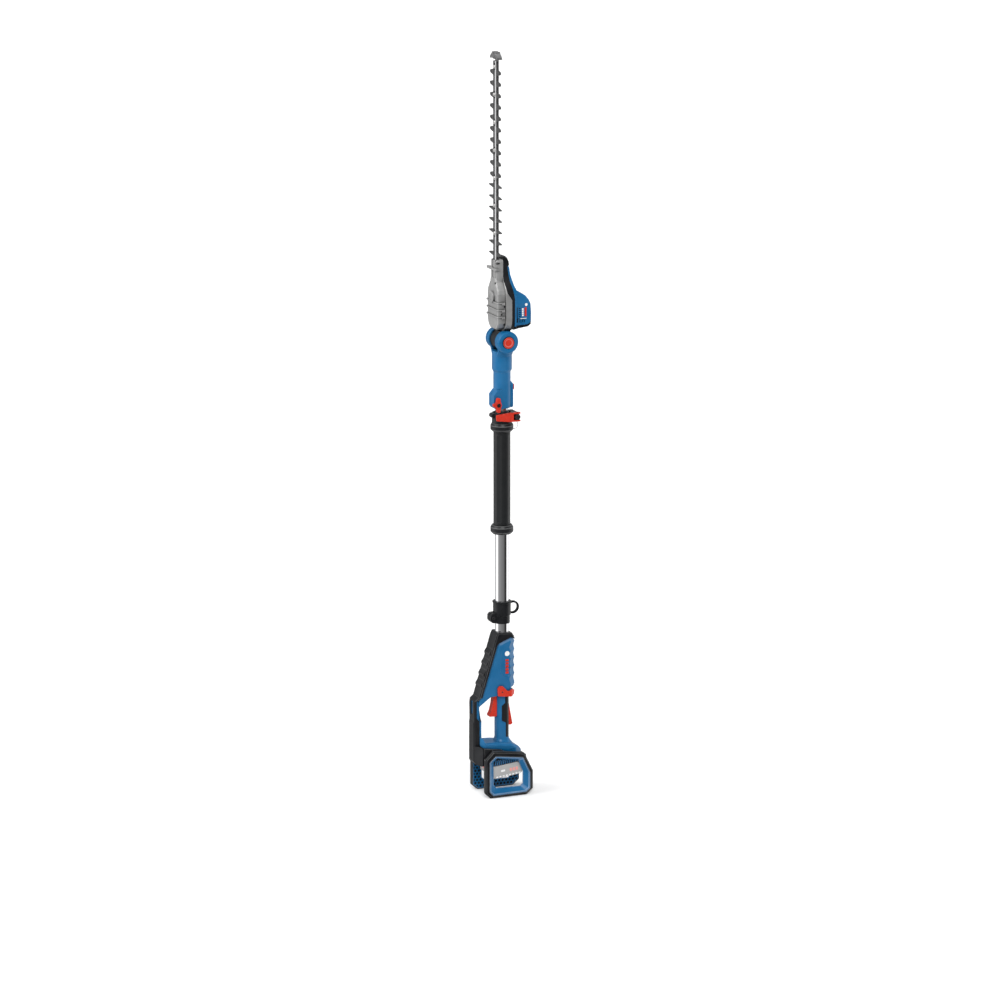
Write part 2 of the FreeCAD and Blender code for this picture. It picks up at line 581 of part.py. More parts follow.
def blade(x):
    """Toothed steel blade with slots for the bolts and a yoke opening at its tail."""
    bar = plate_yz(symmetric([(TAIL_HALF, GEAR_Z - TAIL_HIGH), (TAIL_HALF, GEAR_Z + TAIL_HIGH),
                              (BAR_HALF, GEAR_Z + TAIL_HIGH + 12), (BAR_HALF, BLADE_TOP)]), x)
    teeth = []
    for z, i in tooth_centres():
        if i < BLUNT_TEETH:
            points = [(BAR_HALF - 1, z + 7.5), (BLUNT_TIP - 4, z + 4), (BLUNT_TIP, z + 2), (BLUNT_TIP, z - 2.5),
                      (BLUNT_TIP - 4, z - 4.5), (BAR_HALF - 1, z - 8)]
        else:
            points = [(BAR_HALF - 1, z + 6), (SHARP_TIP, z + 1.2), (SHARP_TIP, z - 1.4), (BAR_HALF - 1, z - 6)]
        teeth += both_sides(plate_yz(points, x))
    slots = []
    for k in range(BOLT_COUNT):
        z = TOP_BOLT_Z - BOLT_PITCH * k
        reach = STROKE_HALF + SLOT_HALF + 0.4
        slots.append(plate_yz(symmetric([(SLOT_HALF, z - reach), (SLOT_HALF, z + reach)]), (x[0] - 1, x[1] + 1),
                              SLOT_HALF * 0.95))
    half_y = STROKE_HALF + ECCENTRIC_R + 0.4
    half_z = half_y + STROKE_HALF
    yoke = plate_yz(symmetric([(half_y, GEAR_Z - half_z), (half_y, GEAR_Z + half_z)]), (x[0] - 1, x[1] + 1), 5)
    return less(joined(bar, *teeth), *slots, yoke)


def guide_bar():
    bar = block(GUIDE_X, (-BAR_HALF + 1, BAR_HALF - 1), (1300, 1880))
    return less(bar, blade_bolts())


def blade_bolts():
    """Seven shoulder bolts with washers, heads on the -X face, and the tip guard's screw."""
    bolts = []
    for k in range(BOLT_COUNT):
        z = TOP_BOLT_Z - BOLT_PITCH * k
        top = UPPER_X[0] - APART
        bolts.append(joined(
            rod(BLADE_BOLT_R, (top, 0, z), (GUIDE_X[1] + 1.5, 0, z)),
            rod(5, (top - 1, 0, z), (top, 0, z)),
            rod(3.6, (top - 3, 0, z), (top - 1, 0, z)),
        ))
    return Part.Compound(bolts)


def tip_guard():
    """Anchor-shaped bumper round the blades' tip."""
    half = [(7, 1862), (10.5, 1864), (15, 1870), (24, 1868), (33, 1861), (37, 1860.5), (35, 1868), (27, 1877),
            (19, 1882), (15, TIP_Z), (7, TIP_Z), (5, 1883)]
    body = plate_yz(symmetric(half), (-22.5, -9), 1.5)
    dome = rod(9, (-23.5, 0, 1873.5), (-9, 0, 1873.5))
    pocket = block((UPPER_X[0] - 0.5, GUIDE_X[0] - 0.02), (-BAR_HALF - 0.6, BAR_HALF + 0.6), (1850, BLADE_TOP + 7))
    seat = block(GUIDE_X, (-BAR_HALF + 1, BAR_HALF - 1), (1850, 1880))
    return less(joined(body, dome), pocket, seat, blade_bolts())


# ---------------------------------------------------------------- handle
def spine_x(z):
    """X of the spine cover's outer face at a height."""
    return -24.0 - 0.303 * (412.0 - z)


WEDGE_PLAN = [(-90, -30), (7, -30), (31, -7.5), (33, -3), (33, 3), (31, 7.5), (7, 30), (-90, 30)]
WEDGE = [(26, 402.5), (15.3, 408), (-16.9, 395), (-21.4, 389), (-56.4, 277.6), (-70, 252), (-70, 233),
         (-38, 256), (-18, 257), (17, 253), (17, 277), (27, 278.5), (33.5, 285), (33, 391)]


def grip_solid(shrink=0.0):
    x0, x1 = GRIP_X[0] + shrink, GRIP_X[1] - shrink
    y = GRIP_HALF_Y - shrink
    return plate_xy([(x0, -y), (x1, -y), (x1, y), (x0, y)], GRIP_Z_RANGE, 12 - shrink)


def palm_region():
    """Side view of the soft insert on the palm side of the grip."""
    return plate_xz([(2, 257), (2, 236), (-7, 229), (-7, 190), (4, 184), (4, 142), (30, 142), (30, 257)], (-30, 30))


def handle_solid():
    """Outer form of the two blue shells together."""
    wedge = plate_xz(WEDGE, (-WEDGE_HALF, WEDGE_HALF)).common(plate_xy(WEDGE_PLAN, (220, 420), 6))
    low_strip = block((COLUMN_X[1], COLUMN_INNER), (-STRIP_HALF + 2, STRIP_HALF - 2), (135, 198))
    high_strip = plate_xz([(COLUMN_THIN, 204), (COLUMN_X[1], 195), (COLUMN_X[1], 249), (COLUMN_THIN, 249)],
                          (-STRIP_HALF + 2, STRIP_HALF - 2))
    shelf_side = plate_xz([(COLUMN_X[1], 155), (COLUMN_INNER, 152), (-59, 142), (-52, 138.5), (-25, 137.5), (16, 131.5),
                           (35, 122), (44, 112), (46.5, 104.3), (-10, 116.6), (-15, 120), (-63.6, 128),
                           (COLUMN_X[1], 132)], (-60, 60))
    shelf_plan = plate_xy([(COLUMN_X[1], -22), (-58, -SHELF_HALF), (26, -SHELF_HALF), (46.5, -16), (46.5, 16),
                           (26, SHELF_HALF), (-58, SHELF_HALF), (COLUMN_X[1], 22)], (90, 170), 9)
    flare = cone(25, 16.5, (-1, 0, 133), (-1, 0, 148))
    return joined(wedge, low_strip, high_strip, shelf_side.common(shelf_plan), grip_solid(), flare)


def handle_hollow():
    """Space inside the shells, and the slots of trigger, lock lever and pins."""
    wedge = plate_xz([(27, 384), (-16, 380), (-50, 277), (-60, 259), (-55, 252), (-38, 260), (13, 261), (13, 281),
                      (28, 285)], (-WEDGE_HALF + SHELL_WALL, WEDGE_HALF - SHELL_WALL))
    socket = rod(OUTER_R + 4, (0, 0, 322), (0, 0, 395))
    posts = [rod(4.2, (x, -25, z), (x, 25, z)) for x, z, reach in HANDLE_SCREW_PLACES]
    inner_plan = [(a, b) for a, b in moved_in(WEDGE_PLAN, SHELL_WALL + 0.6)]
    room = less(wedge.common(plate_xy(inner_plan, (220, 420), 4)), socket, *posts)
    core = block((GRIP_X[0] + 5, GRIP_X[1] - 5), (-10.5, 10.5), (142, 262))
    tube = rod(OUTER_R, (0, 0, OUTER_FOOT), (0, 0, 450))
    lead = rod(6, (0, 0, 300), (0, 0, 331))
    trigger_slot = block((-34, -5), (-8.5, 8.5), (196, 257.5))
    lock_slot = block((5, 30), (-7.6, 7.6), (168, 236))
    shelf = plate_xz([(-55, 134), (-20, 133), (28, 119), (36, 111), (0, 118.5), (-15, 123), (-55, 130.5)], (-24, 24))
    return joined(room, core, tube, lead, trigger_slot, lock_slot, shelf)


# (X, Z, how far out the head reaches); the palm side's corners are cut away, so its two heads sit deeper
HANDLE_SCREW_PLACES = [(22, 372, 14), (22, 300, 14), (-42, 284, 22), (-10, 300, 22), (-22.5, 345, 22)]


def housing_screws():
    """Cross screws of the handle, heads on the +Y side."""
    return Part.Compound([counterbored(x, z, 1, reach, 8 - reach) for x, z, reach in HANDLE_SCREW_PLACES])


def handle_shell(side):
    shape = half_shell(handle_solid(), side)
    access = [rod(3.2, (x, reach - 0.5, z), (x, 30, z)) for x, z, reach in HANDLE_SCREW_PLACES]
    insert = less(grip_solid(), grip_solid(SHELL_WALL)).common(palm_region())
    return less(shape, handle_hollow(), insert, housing_screws(), lever_pins(), *access)


def palm_insert():
    ring = less(grip_solid(), grip_solid(SHELL_WALL)).common(palm_region())
    lock_slot = block((5, 30), (-7.6, 7.6), (168, 236))
    flare = cone(25, 16.5, (-1, 0, 133), (-1, 0, 148))
    return less(ring, lock_slot, flare, lever_pins())


def spine_cover():
    """Black top cap and ribbed spine, with its outer corners bevelled."""
    inner = [(26, 402.5), (15.3, 408), (-16.9, 395), (-21.4, 389), (-56.4, 277.6), (-70, 252), (-72.5, 249)]
    outer = [(-81, 249), (spine_x(258), 258), (spine_x(412), 412), (-19, 422), (19, 419), (25, 410)]
    body = plate_xz(inner + outer, (-WEDGE_HALF + 0.5, WEDGE_HALF - 0.5))
    rim = [e for e in body.Edges if abs(abs(e.CenterOfMass.y) - WEDGE_HALF + 0.5) < 0.01
           and (e.CenterOfMass.x < spine_x(e.CenterOfMass.z) + 1 or e.CenterOfMass.z > 412)]
    body = body.makeChamfer(3.0, rim)
    ribs = []
    for i in range(4):
        top = 380.0 - 26.5 * i
        low = top - 17.5
        ribs.append(plate_xz([(spine_x(top) - 0.6, top), (spine_x(top) + 3, top), (spine_x(low) + 3, low),
                              (spine_x(low) - 2.2, low + 1), (spine_x(low) - 2.6, low + 6)],
                             (-STRIP_HALF + 1, STRIP_HALF - 1)))
    bore = rod(OUTER_R, (0, 0, 380), (0, 0, 440))
    return less(joined(body, *ribs), bore)


def rear_column():
    """Black column behind the hand, which spreads at its foot to meet the two guards."""
    low = 82.0
    post = plate_xz([(-80.6, 249), (-83, 244), (-82.5, 196), (COLUMN_X[0], 190), (COLUMN_X[0], 92), (-78.7, 84),
                     (COLUMN_X[1], low), (COLUMN_X[1], 195), (COLUMN_THIN, 204), (COLUMN_THIN, 249)],
                    (-STRIP_HALF, STRIP_HALF), 1.2)
    post = post.common(plate_xy([(COLUMN_X[0], -STRIP_HALF + 4), (COLUMN_X[0] + 4, -STRIP_HALF),
                                 (COLUMN_X[1], -STRIP_HALF), (COLUMN_X[1], STRIP_HALF),
                                 (COLUMN_X[0] + 4, STRIP_HALF), (COLUMN_X[0], STRIP_HALF - 4)], (70, 260)))
    yoke_plan = plate_xy([(COLUMN_X[0], -14), (COLUMN_X[0], 14), (-80, 19), (-68, 38.5), (-63, 38.5),
                          (-63, -38.5), (-68, -38.5), (-80, -19)], (low, 132))
    yoke_side = plate_xz([(COLUMN_X[0], 131), (COLUMN_X[0], 92), (-78.7, 84), (-73, low), (-63, low + 1),
                          (-63, 116), (-66, 126), (-70, 131)], (-60, 60))
    shelf = handle_solid_lower()
    recess = plate_xz([(-90, 247), (-90, 208), (-78, 214), (-75, 218), (-75, 247)], (-5, 5))
    return less(joined(post, yoke_plan.common(yoke_side)), recess, shelf)


def handle_solid_lower():
    """The part of the blue handle that the rear column is fitted round."""
    return handle_solid().common(block((-100, 60), (-60, 60), (90, 252)))


def base_bridge():
    """Black bridge between the guards, under the blue shelf, with the bay's sloping ceiling below."""
    shape = plate_xz([(-63.6, 128), (-15, 120), (-10, 116.6), (50, 103), (51, 96),
                      (51, BAY_CEILING + 51 * math.tan(math.radians(BAY_TILT))),
                      (-63.6, BAY_CEILING - 63.6 * math.tan(math.radians(BAY_TILT)))], (-GUARD_IN, GUARD_IN))
    return less(shape, rear_column(), *bay_skirts())


def bay_skirts():
    """Side walls of the bay, from above its ceiling down to just over the pack's shoulders."""
    return [tilted(block((-38, 42), sorted((side * 34.0, side * GUARD_IN)), (BAY_CEILING - 5.4, BAY_CEILING + 9)))
            for side in (-1, 1)]


GUARD_OUTLINE = [(-50, 0), (46, 0), (63.5, 15), (63.5, 61), (39.5, 110), (-43.5, 122), (-65.3, 101), (-65.3, 14)]
LINER_OUTLINE = [(-44, 6.5), (44.6, 7.5), (56, 15.8), (56, 57), (36.5, 98.5), (-38, 109), (-54.3, 94.5),
                 (-54.3, 17)]
WINDOW_OUTLINE = [(-31.5, 23), (33.3, 21.5), (40, 27.5), (40, 59), (28, 89.5), (-30.5, 100), (-40, 90),
                  (-39, 30.5)]


def moved_in(points, amount):
    """An outline drawn in towards its middle by about the given amount."""
    cx = sum(a for a, b in points) / len(points)
    cz = sum(b for a, b in points) / len(points)
    return [(a + math.copysign(amount, cx - a), b + math.copysign(amount, cz - b)) for a, b in points]


def cheek_plate(side):
    """Flat inner face of a guard: it covers the whole ring except a thin black border."""
    return plate_xz(moved_in(GUARD_OUTLINE, CHEEK_BORDER), sorted((side * GUARD_IN, side * (GUARD_IN + CHEEK))))


def guard_frame(side):
    """Black bumper frame: an eight-sided ring whose walls lean in towards its outer face."""
    floor_cut = 2.0
    wide = [(a, b if b > 0 else -floor_cut) for a, b in GUARD_OUTLINE]
    small = [(a, b if b > GUARD_TAPER else -floor_cut) for a, b in moved_in(GUARD_OUTLINE, GUARD_TAPER)]
    inner_face = Part.makePolygon([V(a, side * GUARD_IN, b) for a, b in wide + wide[:1]])
    outer_face = Part.makePolygon([V(a, side * GUARD_OUT, b) for a, b in small + small[:1]])
    body = Part.makeLoft([inner_face, outer_face], True, True)
    hole = plate_xz(LINER_OUTLINE, (side * GUARD_IN - 20, side * GUARD_IN + 20))
    below = block((-70, 70), (-70, 70), (-floor_cut - 1, 0))
    return less(body, hole, cheek_plate(side), below)


def guard_liner(side):
    """Blue liner: the guard's inner face, and a funnel from the frame's opening down to a smaller window."""
    y_in, y_out = side * GUARD_IN, side * (GUARD_OUT - 0.5)
    body = joined(plate_xz(LINER_OUTLINE, sorted((y_in, y_out))), cheek_plate(side))
    rim = moved_in(LINER_OUTLINE, 1.2)
    wide = Part.makePolygon([V(a, side * GUARD_OUT, b) for a, b in rim + rim[:1]])
    narrow = Part.makePolygon([V(a, side * (GUARD_IN + 3), b) for a, b in WINDOW_OUTLINE + WINDOW_OUTLINE[:1]])
    funnel = Part.makeLoft([wide, narrow], True, True)
    window = plate_xz(WINDOW_OUTLINE, sorted((side * (GUARD_IN - 5), side * (GUARD_IN + 4))))
    return less(body, funnel, window)


def battery_rail():
    """Two hooked rails under the bay's ceiling, the stop block at their +X end and the bay's side skirts."""
    top = BAY_CEILING
    x = (-40, 46)
    rails = []
    for wall, lip in (((25, 30), (20.9, 30)), ((-30, -25), (-30, -20.9))):
        rails.append(block(x, wall, (top - 6.3, top)))
        rails.append(block(x, lip, (top - 6.3, top - 4.6)))
    stop = block((41, 47), (-30, 30), (top - 12, top))
    tie = block((41, 42), (-35, 35), (top - 5.4, top))
    return less(joined(tilted(joined(*rails, stop, tie)), *bay_skirts()), battery_terminals())


def battery_terminals():
    """Four contact blades that reach into the pack's slots."""
    blades = []
    for y in (-15, -5, 5, 15):
        blades.append(tilted(block((27, 44), (y - 0.4, y + 0.4), (BAY_CEILING - 9, BAY_CEILING - 2))))
    return Part.Compound(blades)


def battery_case():
    """Slide-on pack: a chamfered body and a T-shaped deck that hooks into the rails."""
    high = BAY_CEILING - PACK_TOP
    low = high - PACK_HIGH
    x0, x1 = PACK_X
    side = plate_xz([(x0 + 10, low), (x1 - 4, low), (x1, low + 5), (x1, high - 14), (x1 - 8, high),
                     (x0 + 3, high), (x0, high - 4), (x0, low + 10)], (-PACK_HALF, PACK_HALF), 2.5)
    side = softened(side, 3.0, lambda e: abs(abs(e.CenterOfMass.y) - PACK_HALF) < 0.01
                    and e.CenterOfMass.z < low + 1 and e.Length > 30)
    neck = block((-34, 32), (-20.4, 20.4), (high - 1, BAY_CEILING - 3))
    flange = block((-34, 32), (-24.4, 24.4), (BAY_CEILING - 4.1, BAY_CEILING - 0.7))
    slots = [block((18, 50), (y - 1.1, y + 1.1), (high - 6, BAY_CEILING)) for y in (-15, -5, 5, 15)]
    button_room = block((x0 - 1, x0 + 8), (-12 - APART, 12 + APART), (high - 14 - APART, high - 4 + APART))
    return tilted(less(joined(side, neck, flange), button_room, *slots))


def battery_button():
    high = BAY_CEILING - PACK_TOP
    return tilted(block((PACK_X[0] - 2, PACK_X[0] + 3), (-12, 12), (high - 14, high - 4)))


# ---------------------------------------------------------------- controls
def trigger():
    """Finger lever hinged at its top, with a hooked lower end."""
    px, pz = TRIGGER_PIVOT
    paddle = plate_xz([(-9.5, 255), (-26, 255), (-28, 236), (-32.5, 216), (-38, 205), (-37, 201.5), (-19.2, 200.5),
                       (-16.5, 203.5), (-15, 238), (-9.5, 243)], (-8.2, 8.2), 1.2)
    return less(paddle, rod(1.5 + RUNNING, (px, -20, pz), (px, 20, pz)))


def lock_lever():
    px, pz = LOCK_PIVOT
    paddle = plate_xz([(11.5, 232), (16, 232), (26, 178), (22, 174.7), (12.5, 175), (12, 225)], (-7.2, 7.2), 0.8)
    return less(paddle, rod(1.2 + RUNNING, (px, -20, pz), (px, 20, pz)))


def safety_yoke():
    """U-shaped lever that straddles the housing and wraps its palm side."""
    px, pz = YOKE_PIVOT
    cheek = plate_xz([(-22.4, 278), (-18, 284), (-9, 283.5), (3.6, 270), (20, 268.5), (25, 266), (25, 257),
                      (14, 254), (-21.3, 258.5)], (23.3, 27.5), 2)
    bridge = plate_xz([(12, 254), (25.5, 258), (27.5, 268), (22, 272), (12, 272)], (-27.5, 27.5))
    outer = plate_xy(symmetric_y([(-30, -27.5), (15.5, -27.5), (27.5, -16.5)]), (240, 300))
    inner = plate_xy(symmetric_y([(-30, -23.3), (17.5, -23.3), (20.4, -20.6)]), (240, 300))
    shape = less(joined(*both_sides(cheek), bridge).common(outer), inner)
    return less(shape, rod(2 + RUNNING, (px, -40, pz), (px, 40, pz)))


def lever_pins():
    """Pivot pins of trigger, lock lever and yoke."""
    (tx, tz), (lx, lz), (yx, yz) = TRIGGER_PIVOT, LOCK_PIVOT, YOKE_PIVOT
    return Part.Compound([
        rod(1.5, (tx, -12, tz), (tx, 12, tz)),
        rod(1.2, (lx, -9.5, lz), (lx, 9.5, lz)),
        rod(2, (yx, -27.5, yz), (yx, -20.2, yz)),
        rod(2, (yx, 20.2, yz), (yx, 27.5, yz)),
    ])


def trigger_switch():
    body = block((-4, 3.5), (-10.5, 10.5), (208, 232))
    return joined(body, block((-9.2, -4), (-3, 3), (218, 224)))


def trigger_spring():
    """Outer shape of the coil spring between the switch and the trigger."""
    return turned([(1.2, 0), (2.6, 0), (2.6, 11.2), (1.2, 11.2)], (-15.2, 0, 229), X_AXIS)


def control_board():
    """Controller board with its potted heat sink."""
    return joined(block((-30, 8), (-20, 20), (284, 286)), block((-26, 4), (-12, 12), (286, 294)))


PARTS = {
    "outer_tube": outer_tube,
    "inner_tube": inner_tube,
    "inner_tube_foot": inner_tube_foot,
    "pole_plug": pole_plug,
    "grip_sleeve": grip_sleeve,
    "upper_collar": lambda: pole_collar(UPPER_COLLAR_Z),
    "lower_collar": lambda: pole_collar(LOWER_COLLAR_Z),
    "strap_collar": strap_collar,
    "strap_collar_screw": strap_collar_screw,
    "coiled_lead": coiled_lead,
    "clamp_bush": clamp_bush,
    "clamp_body": clamp_body,
    "tension_bolt": tension_bolt,
    "clamp_pin": clamp_pin,
    "clamp_lever": clamp_lever,
    "wire_clip": wire_clip,
    "neck_shell_left": lambda: neck_shell(-1),
    "neck_shell_right": lambda: neck_shell(1),
    "neck_screws": neck_screws,
    "elbow_pin": elbow_pin,
    "elbow_button": elbow_button,
    "wing_knob": wing_knob,
    "wing_stud": wing_stud,
    "coupling_button": coupling_button,
    "elbow_hub": elbow_hub,
    "gear_case": gear_case,
    "middle_frame": middle_frame,
    "motor_cover": motor_cover,
    "case_screws": case_screws,
    "motor_stator": motor_stator,
    "motor_rotor": motor_rotor,
    "drive_gear": drive_gear,
    "upper_blade": lambda: blade(UPPER_X),
    "lower_blade": lambda: blade(LOWER_X),
    "guide_bar": guide_bar,
    "blade_bolts": blade_bolts,
    "tip_guard": tip_guard,
    "handle_shell_left": lambda: handle_shell(-1),
    "handle_shell_right": lambda: handle_shell(1),
    "housing_screws": housing_screws,
    "spine_cover": spine_cover,
    "rear_column": rear_column,
    "palm_insert": palm_insert,
    "base_bridge": base_bridge,
    "guard_frame_left": lambda: guard_frame(-1),
    "guard_frame_right": lambda: guard_frame(1),
    "guard_liner_left": lambda: guard_liner(-1),
    "guard_liner_right": lambda: guard_liner(1),
    "battery_rail": battery_rail,
    "battery_terminals": battery_terminals,
    "battery_case": battery_case,
    "battery_button": battery_button,
    "trigger": trigger,
    "lock_lever": lock_lever,
    "safety_yoke": safety_yoke,
    "lever_pins": lever_pins,
    "trigger_switch": trigger_switch,
    "trigger_spring": trigger_spring,
    "control_board": control_board,
}

os.makedirs("parts", exist_ok=True)
for name, make in PARTS.items():
    shape = make()
    if not shape.isValid():
        print("not valid:", name)
    shape.exportStep("parts/" + name + ".step")
    print(name, len(shape.Solids), round(shape.Volume))
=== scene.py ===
"""Looks of the pole hedge trimmer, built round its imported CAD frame. Metres; the pole's axis is Z."""
import json
import math

import bmesh
import bpy
from mathutils import Matrix, Vector


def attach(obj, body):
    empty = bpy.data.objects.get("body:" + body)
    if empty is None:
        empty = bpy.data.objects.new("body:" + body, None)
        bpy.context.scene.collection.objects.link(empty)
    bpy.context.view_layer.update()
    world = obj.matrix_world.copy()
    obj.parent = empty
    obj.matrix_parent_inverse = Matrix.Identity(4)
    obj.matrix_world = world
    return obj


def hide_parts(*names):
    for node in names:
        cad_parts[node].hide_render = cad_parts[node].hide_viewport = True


MM = 0.001
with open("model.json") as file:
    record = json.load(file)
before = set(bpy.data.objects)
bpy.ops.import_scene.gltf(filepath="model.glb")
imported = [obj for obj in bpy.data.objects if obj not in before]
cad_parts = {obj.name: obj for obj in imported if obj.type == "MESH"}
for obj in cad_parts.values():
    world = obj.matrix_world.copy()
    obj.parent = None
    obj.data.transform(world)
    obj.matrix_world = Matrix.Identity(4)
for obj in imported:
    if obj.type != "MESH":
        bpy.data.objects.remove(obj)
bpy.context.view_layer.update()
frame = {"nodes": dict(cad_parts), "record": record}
BODY_OF = {node: body for body, nodes in frame["record"]["behaviour"]["bodies"].items() for node in nodes}
SLOT_OF = {part["node"]: part["material_slot"] for part in frame["record"]["subparts"]}


# ---------------------------------------------------------------- camera
AZIMUTH, ELEVATION = math.radians(-22.7), math.radians(13.6)
DISTANCE, SIDEWAYS = 12.5, 0.00475
AIM = Vector((0, 0, 0.759))
LENS_MM, SENSOR_MM, FAR_END = 180, 36, 200


def place_camera():
    """A long lens that sees the upright tool from its left front and a little above."""
    right = Vector((math.cos(AZIMUTH), math.sin(AZIMUTH), 0))
    back = Vector((math.sin(AZIMUTH) * math.cos(ELEVATION), -math.cos(AZIMUTH) * math.cos(ELEVATION),
                   math.sin(ELEVATION)))
    data = bpy.data.cameras.new("camera")
    data.lens, data.sensor_width, data.clip_end = LENS_MM, SENSOR_MM, FAR_END
    camera = bpy.data.objects.new("camera", data)
    bpy.context.scene.collection.objects.link(camera)
    axes = Matrix((right, back.cross(right), back)).transposed().to_4x4()
    camera.matrix_world = Matrix.Translation(AIM + back * DISTANCE - right * SIDEWAYS) @ axes
    bpy.context.scene.camera = camera


place_camera()
bpy.context.scene.view_settings.view_transform = "Standard"


# ---------------------------------------------------------------- materials
class Nodes:
    """A new material and short ways to add nodes to it."""

    def __init__(self, name):
        self.material = bpy.data.materials.new(name)
        self.material.use_nodes = True
        self.tree = self.material.node_tree
        self.shader = self.tree.nodes["Principled BSDF"]
        self.coords = self.add("ShaderNodeTexCoord").outputs["Object"]

    def add(self, kind, **values):
        node = self.tree.nodes.new(kind)
        for name, value in values.items():
            setattr(node, name, value)
        return node

    def link(self, output, socket):
        self.tree.links.new(output, socket)

    def stretched(self, scale):
        """Object coordinates, with each axis multiplied."""
        mapping = self.add("ShaderNodeMapping")
        mapping.inputs["Scale"].default_value = scale
        self.link(self.coords, mapping.inputs["Vector"])
        return mapping.outputs["Vector"]

    def noise(self, size_mm, detail, vector=None, roughness=0.5):
        node = self.add("ShaderNodeTexNoise")
        node.inputs["Scale"].default_value = 1 / (size_mm * MM)
        node.inputs["Detail"].default_value = detail
        node.inputs["Roughness"].default_value = roughness
        self.link(vector or self.coords, node.inputs["Vector"])
        return node.outputs["Fac"]

    def ramp(self, value, *stops):
        """stops are (position, colour or grey)."""
        node = self.add("ShaderNodeValToRGB")
        elements = node.color_ramp.elements
        while len(elements) < len(stops):
            elements.new(0.5)
        for element, (position, colour) in zip(elements, stops):
            element.position = position
            element.color = (*colour, 1) if isinstance(colour, tuple) else (colour, colour, colour, 1)
        self.link(value, node.inputs["Fac"])
        return node.outputs["Color"]

    def mixed(self, factor, a, b, blend="MIX"):
        """Blend of a and b; each argument is a node's output, a colour or a number."""
        node = self.add("ShaderNodeMix", data_type="RGBA", blend_type=blend)
        for value, socket in ((factor, node.inputs["Factor"]), (a, node.inputs["A"]), (b, node.inputs["B"])):
            if isinstance(value, bpy.types.NodeSocket):
                self.link(value, socket)
            elif isinstance(value, tuple):
                socket.default_value = (*value, 1)
            else:
                socket.default_value = value
        return node.outputs["Result"]

    def painted_corner_shade(self, colour, reach_mm, least):
        """Painted shade: a colour that darkens in the corners and gaps within reach of other surfaces."""
        near = self.add("ShaderNodeAmbientOcclusion", samples=8)
        near.inputs["Distance"].default_value = reach_mm * MM
        return self.mixed(1.0, colour, self.ramp(near.outputs["AO"], (0.25, least), (0.9, 1.0)), "MULTIPLY")

    def bump(self, height, depth_mm):
        node = self.add("ShaderNodeBump")
        node.inputs["Strength"].default_value = 1.0
        node.inputs["Distance"].default_value = depth_mm * MM
        self.link(height, node.inputs["Height"])
        self.link(node.outputs["Normal"], self.shader.inputs["Normal"])

    def set(self, **values):
        """Values of the shader's own sockets, with _ for a space in their names."""
        for name, value in values.items():
            self.shader.inputs[name.replace("_", " ")].default_value = value


def lighter(colour, amount):
    return tuple(min(1.0, c + (1 - c) * amount) for c in colour)


def darker(colour, amount):
    return tuple(c * (1 - amount) for c in colour)


def moulded(name, colour, rough=(0.35, 0.5), depth=0.05, specular=0.10):
    """Injection-moulded plastic: spark-eroded grain, faint flow marks, and painted shade that darkens its gaps
    and corners.
    """
    n = Nodes(name)
    flow = n.ramp(n.noise(45, 2), (0.3, 0.0), (0.7, 1.0))
    base = n.mixed(flow, darker(colour, 0.10), lighter(colour, 0.012))
    n.link(n.painted_corner_shade(base, 7, 0.35), n.shader.inputs["Base Color"])
    n.link(n.ramp(n.noise(6, 4), (0.3, rough[0]), (0.7, rough[1])), n.shader.inputs["Roughness"])
    n.bump(n.noise(0.9, 2), depth)
    n.set(Specular_IOR_Level=specular)
    return n.material


def rubbery(name, colour):
    """Soft overmould: matt, with fine pores, a little dust and painted shade in its gaps and corners."""
    n = Nodes(name)
    dust = n.ramp(n.noise(18, 5, roughness=0.65), (0.42, 0.0), (0.75, 0.35))
    base = n.mixed(dust, colour, lighter(colour, 0.008))
    n.link(n.painted_corner_shade(base, 7, 0.4), n.shader.inputs["Base Color"])
    n.link(n.ramp(n.noise(3, 3), (0.3, 0.40), (0.7, 0.48)), n.shader.inputs["Roughness"])
    n.bump(n.noise(0.8, 3), 0.05)
    n.set(Specular_IOR_Level=0.28)
    return n.material


def drawn_tube(name, colour, roughness):
    """Drawn and polished aluminium tube with fine die lines along its length."""
    n = Nodes(name)
    lines = n.noise(0.9, 4, n.stretched((1, 1, 0.004)))
    base = n.mixed(n.ramp(lines, (0.35, 0.0), (0.65, 1.0)), darker(colour, 0.06), colour)
    n.link(base, n.shader.inputs["Base Color"])
    marks = n.ramp(n.noise(14, 5, roughness=0.7), (0.5, roughness), (0.8, roughness + 0.12))
    n.link(marks, n.shader.inputs["Roughness"])
    n.bump(lines, 0.015)
    n.set(Metallic=1.0)
    return n.material


def cast_metal(name, colour):
    """Die-cast and blasted aluminium: a cloudy, pebbled skin, with painted shade that darkens its recesses."""
    n = Nodes(name)
    cloudy = n.ramp(n.noise(22, 4), (0.3, 0.0), (0.7, 1.0))
    base = n.mixed(cloudy, darker(colour, 0.16), lighter(colour, 0.03))
    n.link(n.painted_corner_shade(base, 14, 0.10), n.shader.inputs["Base Color"])
    n.link(n.ramp(n.noise(5, 4), (0.3, 0.32), (0.7, 0.48)), n.shader.inputs["Roughness"])
    n.bump(n.noise(1.4, 3), 0.10)
    n.set(Metallic=0.45, Specular_IOR_Level=0.3)
    return n.material


def ground_steel(name, colour, across):
    """Steel with a little stain, painted shade in its corners and grinding lines, which run along the axis whose
    factor in across is least.
    """
    n = Nodes(name)
    lines = n.noise(0.5, 4, n.stretched(across))
    stain = n.ramp(n.noise(16, 5, roughness=0.7), (0.45, 0.0), (0.8, 0.6))
    clean = n.mixed(lines, darker(colour, 0.15), lighter(colour, 0.06))
    n.link(n.painted_corner_shade(n.mixed(stain, clean, darker(colour, 0.35)), 5, 0.25), n.shader.inputs["Base Color"])
    n.link(n.ramp(lines, (0.3, 0.28), (0.7, 0.42)), n.shader.inputs["Roughness"])
    n.bump(lines, 0.02)
    n.set(Metallic=0.9)
    return n.material


